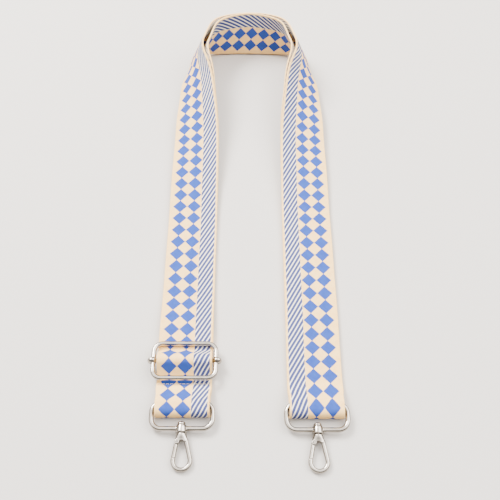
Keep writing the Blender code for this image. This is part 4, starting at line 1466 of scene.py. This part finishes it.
@dataclass
class SwivelEnd:
    """One end of the strap: oblong ring with its bell, rivet, hook, gate, pin and spring."""

    side: Side
    packed: Packed
    metal: bpy.types.Material
    steel: bpy.types.Material
    tree: bpy.types.NodeTree
    loop: WireLoop = WireLoop(0.0408, 0.0178, 0.006853, 0.0034, 36)
    axis_offset: float = 0.0016
    bell_head: float = 0.0064
    bell_waist_diameter: float = 0.0072
    bell_mouth_diameter: float = 0.0078
    bell_top: float = 0.0025
    bell_waist: float = 0.001
    bell_mouth: float = 0.0026
    bell_lip: float = 0.0008
    rivet: float = 0.0026
    rivet_clearance: float = 0.00025
    rivet_head: float = 0.0056
    rivet_head_height: float = 0.0022
    rivet_rim: Point = (0.96, 0.14)
    dome_steps: int = 14
    rivet_seat: float = 0.0003
    rivet_depth: float = 0.0027
    swivel_gap: float = 0.0006
    neck_length: float = 0.0058
    neck_top: float = 0.0068
    neck_foot_width: float = 0.0094
    neck_foot_depth: float = 0.0042
    neck_edge: float = 0.0006
    neck_squareness: float = 2.6
    eye_top_radius: float = 0.002
    eye_top_place: float = 0.0097
    hook_wire: float = 0.0031
    hook_bend: float = 0.0056
    hook_reach: float = 0.0209
    root_half_width: float = 0.003
    root: float = 0.0074
    pin: float = 0.0011
    pin_clearance: float = 0.0002
    pin_side: float = 0.0029
    pin_place: float = 0.0084
    pin_stand: float = 0.0001
    pin_ease: float = 0.00012
    gate_length: float = 0.0106
    seam: float = 0.0003
    gate_wire: float = 0.0029
    knuckle: float = 0.0013
    tongue: float = 0.001
    side_gap: float = 0.0002
    ear_radius: float = 0.0016
    ear_thickness: float = 0.0008
    ear_ease: float = 0.0002
    spring_wire: float = 0.0003
    spring_radius: float = 0.0009
    spring_pitch: float = 0.0004
    spring_turns: int = 2
    spring_leg: float = 0.0012
    spring_sides: int = 12
    cast_voxel: float = 0.00016
    gate_voxel: float = 0.0001
    ring_rounds: int = 5
    hook_rounds: int = 6
    gate_rounds: int = 4
    wire_facets: int = 40
    neck_segments: int = 64
    nose_segments: int = 128
    bend_steps: int = 72
    small_deg: float = 50.0

    def name(self, word: str) -> str:
        """Return a piece's name on this side."""
        return f"{self.side.word}_{word}"

    def ring_frame(self) -> Matrix:
        """Return the ring's frame."""
        return self.packed.pose(self.name("ring_turn"), "right_hook_swivel")

    def hook_frame(self) -> Matrix:
        """Return the hook's frame."""
        return self.packed.pose(self.name("hook_swivel"), self.name("hook_swivel"))

    def gate_frame(self) -> Matrix:
        """Return the gate's frame."""
        return self.packed.pose(self.name("gate_turn"), self.name("hook_swivel"))

    def slot_half(self) -> float:
        """Return half of the slot between the ears."""
        spring = self.spring_pitch * self.spring_turns + self.spring_wire
        return (self.tongue + spring + 3 * self.side_gap) / 2

    def build_ring(self) -> bpy.types.Object:
        """Make the ring with its bell."""
        loop = self.loop.build("loop", self.tree, self.metal)
        mesh = moved(loop.data, y=self.axis_offset - self.loop.height / 2)
        bpy.data.objects.remove(loop)
        bell_place = self.axis_offset - self.loop.height
        mouth = self.bell_mouth_diameter / 2
        bell = turned(eased([
            (0.0, self.bell_top), (self.bell_head / 2, self.bell_top),
            (self.bell_waist_diameter / 2, self.bell_waist), (mouth, self.bell_lip - self.bell_mouth),
            (mouth, -self.bell_mouth), (0.0, -self.bell_mouth)], self.bell_lip / 2))
        casting = Casting(self.name("ring_with_bell"), mesh)
        casting.shape(moved(bell, y=bell_place), Cut.JOIN).soften(self.cast_voxel, self.ring_rounds)
        deep = 2 * self.bell_mouth
        bore = turned(plain_drum(self.rivet / 2 + self.rivet_clearance, -deep, deep))
        casting.shape(moved(bore, y=bell_place), Cut.REMOVE)
        return casting.placed(self.ring_frame(), self.metal)

    def build_rivet(self) -> bpy.types.Object:
        """Make the swivel rivet with its domed head."""
        seat, height = self.bell_top + self.rivet_seat, self.rivet_head_height
        radius, shank = self.rivet_head / 2, self.rivet / 2
        foot = -self.bell_mouth - self.swivel_gap - self.rivet_depth
        rim, brim = self.rivet_rim
        dome = [(radius * math.cos(angle), seat + height * (brim + (1 - brim) * math.sin(angle)))
                for angle in np.linspace(0, math.pi / 2, self.dome_steps)[:-1]]
        profile = [(0.0, foot), (shank, foot), (shank, seat), (radius * rim, seat)] + dome
        profile.append((0.0, seat + height))
        return Casting(self.name("rivet"), turned(profile)).placed(self.hook_frame(), self.metal)

    def neck(self) -> bpy.types.Mesh:
        """Loft the hook's neck from its round top to its wide flat foot."""
        top = -self.bell_mouth - self.swivel_gap
        length, edge = self.neck_length, self.neck_edge
        stations = [(0.0, -edge), (edge * 0.3, -edge * 0.3), (edge, 0.0)]
        stations += [(length * share, 0.0) for share in (0.2, 0.3, 0.4, 0.5, 0.6, 0.7, 0.8)]
        stations += [(length - edge, 0.0), (length - edge * 0.3, -edge * 0.3), (length, -edge)]
        rings = []
        for down, inset in stations:
            widened = smooth_share(down / length)
            wide = (self.neck_top + (self.neck_foot_width - self.neck_top) * widened) / 2 + inset
            deep = (self.neck_top + (self.neck_foot_depth - self.neck_top) * widened) / 2 + inset
            power = 2 / (2 + (self.neck_squareness - 2) * widened)
            rings.append([(math.copysign(wide * abs(c) ** power, c), top - down,
                           math.copysign(deep * abs(s) ** power, s))
                          for c, s in around(self.neck_segments)])
        return loft("neck", rings)

    def arm(self, sign: int) -> tuple[Vector, Vector, float]:
        """Return where an arm leaves the neck and where it meets the round end."""
        root = Vector((sign * self.root_half_width, -self.root, 0))
        centre = Vector((0, -self.hook_reach, 0))
        to_root = root - centre
        angle = math.atan2(to_root.y, to_root.x) - sign * math.acos(self.hook_bend / to_root.length)
        return root, centre + self.hook_bend * Vector((math.cos(angle), math.sin(angle), 0)), angle

    def loop_wire(self, pin: Point) -> bpy.types.Mesh:
        """Return the hook's wire from its right root round to the nose."""
        right_root, _, right_angle = self.arm(1)
        left_root, left_touch, left_angle = self.arm(-1)
        sweep = right_angle - (left_angle - 2 * math.pi if left_angle > 0 else left_angle)
        centre = Vector((0, -self.hook_reach, 0))
        angles = [right_angle - sweep * step / self.bend_steps for step in range(self.bend_steps + 1)]
        bend = [centre + self.hook_bend * Vector((math.cos(angle), math.sin(angle), 0))
                for angle in angles]
        path = [right_root] + bend + [left_touch + (left_root - left_touch) / 2]
        deep = 2 * self.hook_wire
        guard = block((0, -self.hook_reach - self.hook_bend, -deep), (2 * self.hook_bend, 0, deep))
        nose = Casting("nose", drum(self.gate_length + self.seam, -self.hook_wire, self.hook_wire, pin,
                                    self.nose_segments)).shape(guard, Cut.REMOVE).mesh()
        wire = Casting("wire", tube(path, self.hook_wire / 2, self.wire_facets))
        return wire.shape(nose, Cut.REMOVE).mesh()

    def build_hook(self) -> bpy.types.Object:
        """Make the hook's neck, loop, nose and ears."""
        pin = (-self.pin_side, -self.pin_place)
        half = self.slot_half()
        foot = half + self.ear_thickness
        casting = Casting(self.name("hook_casting"), self.loop_wire(pin))
        casting.shape(self.neck(), Cut.JOIN)
        casting.shape(drum(self.eye_top_radius, -self.hook_wire, self.hook_wire,
                           (0.0, -self.eye_top_place)), Cut.REMOVE)
        casting.shape(drum(self.ear_radius, -foot, foot, pin, edge=self.ear_ease), Cut.JOIN)
        casting.soften(self.cast_voxel, self.hook_rounds)
        reach = self.ear_radius + self.seam
        casting.shape(block((-2 * self.neck_foot_width, -self.pin_place - 2 * self.ear_radius, -half),
                            (-self.pin_side + reach, -self.pin_place + reach, half)), Cut.REMOVE)
        casting.shape(drum(self.pin / 2 + self.pin_clearance, -2 * foot, 2 * foot, pin), Cut.REMOVE)
        top = -self.bell_mouth - self.swivel_gap
        hole = turned(plain_drum(self.rivet / 2 + self.rivet_clearance,
                                 top - self.rivet_depth - self.rivet_seat, top + self.bell_mouth))
        return casting.shape(hole, Cut.REMOVE).placed(self.hook_frame(), self.metal)

    def build_gate(self) -> bpy.types.Object:
        """Make the gate, with the tongue and the knuckle that the pin holds."""
        pin = Vector((-self.pin_side, -self.pin_place, 0))
        root, touch, _ = self.arm(-1)
        along = (touch - root).normalized()
        start = root + along * (pin - root).dot(along) - pin
        deep, clear = self.gate_wire, self.ear_radius + self.seam
        low = self.side_gap - self.slot_half()
        leaf = tube([start, start + along * (self.gate_length + deep)], self.gate_wire / 2,
                    self.wire_facets)
        casting = Casting(self.name("gate_leaf"), leaf)
        casting.shape(drum(self.gate_length, -deep, deep, segments=self.nose_segments), Cut.KEEP)
        casting.shape(drum(clear, -deep, deep), Cut.REMOVE)
        casting.soften(self.gate_voxel, self.gate_rounds)
        end = start + along * (clear + self.gate_wire / 2)
        across = along.cross(Vector((0, 0, 1))) * self.tongue
        spots = (-across, across, end + across, end - across)
        corners = [(spot.x, spot.y, height) for height in (low, low + self.tongue) for spot in spots]
        tongue = mesh_of("tongue", corners, [(0, 1, 2, 3), (4, 5, 6, 7), (0, 1, 5, 4), (1, 2, 6, 5),
                                             (2, 3, 7, 6), (3, 0, 4, 7)])
        casting.shape(tongue, Cut.JOIN)
        casting.shape(drum(self.knuckle, low, low + self.tongue), Cut.JOIN)
        casting.shape(drum(self.pin / 2 + self.pin_clearance, -deep, deep), Cut.REMOVE)
        return casting.placed(self.gate_frame(), self.metal)

    def build_pin(self) -> bpy.types.Object:
        """Make the gate's pin with its rounded ends."""
        half = self.slot_half() + self.ear_thickness + self.pin_stand
        pin = drum(self.pin / 2, -half, half, segments=32, edge=self.pin_ease)
        casting = Casting(self.name("gate_pivot"), pin)
        return casting.placed(self.gate_frame(), self.metal, self.small_deg)

    def build_spring(self) -> bpy.types.Object:
        """Make the small torsion spring beside the gate's tongue."""
        base = 2 * self.side_gap - self.slot_half() + self.tongue + self.spring_wire / 2
        count = 32 * self.spring_turns
        path = [Vector((self.spring_radius, -self.spring_leg, base))]
        for index in range(count + 1):
            done = self.spring_turns * index / count
            angle = 2 * math.pi * done
            path.append(Vector((self.spring_radius * math.cos(angle),
                                self.spring_radius * math.sin(angle), base + self.spring_pitch * done)))
        path.append(Vector((self.spring_radius, self.spring_leg, path[-1].z)))
        coil = Casting(self.name("gate_coil"), tube(path, self.spring_wire / 2, self.spring_sides))
        return coil.placed(self.gate_frame(), self.steel, self.small_deg)

    def build(self) -> None:
        """Make all pieces of this end and hand them over."""
        for make, body, node, slot in (
                (self.build_ring, "ring", "ring", "plated_metal"),
                (self.build_rivet, "hook", "swivel_rivet", "plated_metal"),
                (self.build_hook, "hook", "hook_body", "plated_metal"),
                (self.build_gate, "gate", "gate", "plated_metal"),
                (self.build_pin, "hook", "gate_pin", "plated_metal"),
                (self.build_spring, "gate", "gate_spring", "spring_steel")):
            hand_over(make(), self.name(body), self.name(node))


# Studio


@dataclass
class Studio:
    """Pale floor, soft light from the upper left, and the photograph's viewpoint."""

    slider_middle: Vector
    floor_half: float = 3.0
    target: tuple[float, float, float] = (0.0, 0.0, 0.0)
    key_place: tuple[float, float, float] = (-0.75, 0.7, 1.15)
    key_size: float = 0.6
    key_power: float = 72.0
    fill_place: tuple[float, float, float] = (0.9, 0.2, 1.0)
    fill_size: float = 1.2
    fill_power: float = 32.0
    sky_tint: Colour = colour_of(244, 242, 240)
    sky_dark: float = 0.45
    sky_bright: float = 4.9
    sky_height: Point = (0.52, 0.2)
    sky_front: Point = (-0.4, 0.22)
    camera_offset: tuple[float, float, float] = (0.0423837, -0.210328, 0.4560017)
    lens: float = 51.7
    down: float = math.radians(56.47)
    yaw: float = 0.0093
    roll: float = 0.0107

    def build_floor(self, material: bpy.types.Material) -> None:
        """Lay the floor that the strap rests on."""
        half = self.floor_half
        mesh = bpy.data.meshes.new("studio_floor")
        mesh.from_pydata([(-half, -half, 0), (half, -half, 0), (half, half, 0), (-half, half, 0)], [],
                         [(0, 1, 2, 3)])
        mesh.materials.append(material)
        new_object("studio_floor", mesh)

    def add_light(self, name: str, place: Sequence[float], size: float, power: float) -> None:
        """Add a square light that faces the strap."""
        lamp = bpy.data.lights.new(name, "AREA")
        lamp.energy = power
        lamp.size = size
        thing = bpy.data.objects.new(name, lamp)
        bpy.context.scene.collection.objects.link(thing)
        thing.location = place
        aim = Vector(self.target) - Vector(place)
        thing.rotation_euler = aim.to_track_quat("-Z", "Y").to_euler()

    def build_lights(self) -> None:
        """Add the lights and the sky."""
        self.add_light("key_light", self.key_place, self.key_size, self.key_power)
        self.add_light("fill_light", self.fill_place, self.fill_size, self.fill_power)
        world = bpy.data.worlds.new("studio_sky")
        world.use_nodes = True
        bench = Bench(world.node_tree)
        ahead = bench.axes(bench.value("ShaderNodeTexCoord", "Generated"))
        glow = ahead[2].above(*self.sky_height) * ahead[1].above(*self.sky_front)
        strength = glow * (self.sky_bright - self.sky_dark) + self.sky_dark
        sky = bench.node("ShaderNodeBackground", {"Color": self.sky_tint, "Strength": strength})
        bench.node("ShaderNodeOutputWorld", {"Surface": sky})
        bpy.context.scene.world = world

    def build_camera(self) -> None:
        """Set the camera where the photograph was taken from."""
        camera = bpy.data.cameras.new("photograph_view")
        camera.lens = self.lens
        camera.clip_start = 0.01
        thing = bpy.data.objects.new("photograph_view", camera)
        bpy.context.scene.collection.objects.link(thing)
        ahead = Vector((math.sin(self.yaw) * math.cos(self.down),
                        math.cos(self.yaw) * math.cos(self.down), -math.sin(self.down)))
        level = Vector((math.cos(self.yaw), -math.sin(self.yaw), 0))
        above = level.cross(ahead)
        right = math.cos(self.roll) * level + math.sin(self.roll) * above
        up = math.cos(self.roll) * above - math.sin(self.roll) * level
        turn = Matrix((right, up, -ahead)).transposed().to_4x4()
        place = self.slider_middle + Vector(self.camera_offset)
        thing.matrix_world = Matrix.Translation(place) @ turn
        bpy.context.scene.camera = thing


def main(loaded: dict) -> None:
    """Build the strap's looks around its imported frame.
    """
    logging.basicConfig(level=logging.INFO, format="%(message)s")
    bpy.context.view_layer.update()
    packed = Packed(loaded)
    metal, steel = PlatedMetal().build(), SpringSteel().build()
    thread, weave = SewingThread().build(), JacquardWeave()
    loops, rows = loop_tree(), stitch_tree()

    route, lie = WebbingRoute(), StrapLie()
    slider_middle = packed.middle_of("slider_frame")
    lie.settle_on(-route.slider_place, route.slider_height - route.middle, slider_middle)
    seams = Seams(lie, route, rows, thread)
    webbing = Webbing(lie, route, weave).build(weave.build(), seams.ring_seam_place)
    hand_over(webbing, "strap", "webbing")
    ring_seam = seams.build("ring_seam", [
        StitchRow(seams.ring_seam_place, Layer.OUTER, True),
        StitchRow(seams.ring_seam_place - seams.tab_shift, Layer.RING_TAB, False)], seams.ring_seed)
    bar_seam = seams.build("slider_seam", [
        StitchRow(place, Layer.BAR_TAB, False) for place in seams.bar_seam_places], seams.bar_seed)
    hand_over(ring_seam, "strap", None)
    hand_over(bar_seam, "strap", None)

    slider = Slider(slider_middle)
    hand_over(slider.build_frame(loops, metal), "slider_frame", "slider_frame")
    hand_over(slider.build_bar(metal), "strap", "slider_bar")
    for side in Side:
        SwivelEnd(side, packed, metal, steel, loops).build()

    studio = Studio(slider_middle)
    studio.build_floor(PaleFloor().build())
    studio.build_lights()
    studio.build_camera()


if __name__ == "__main__":
    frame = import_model()
    main(frame)
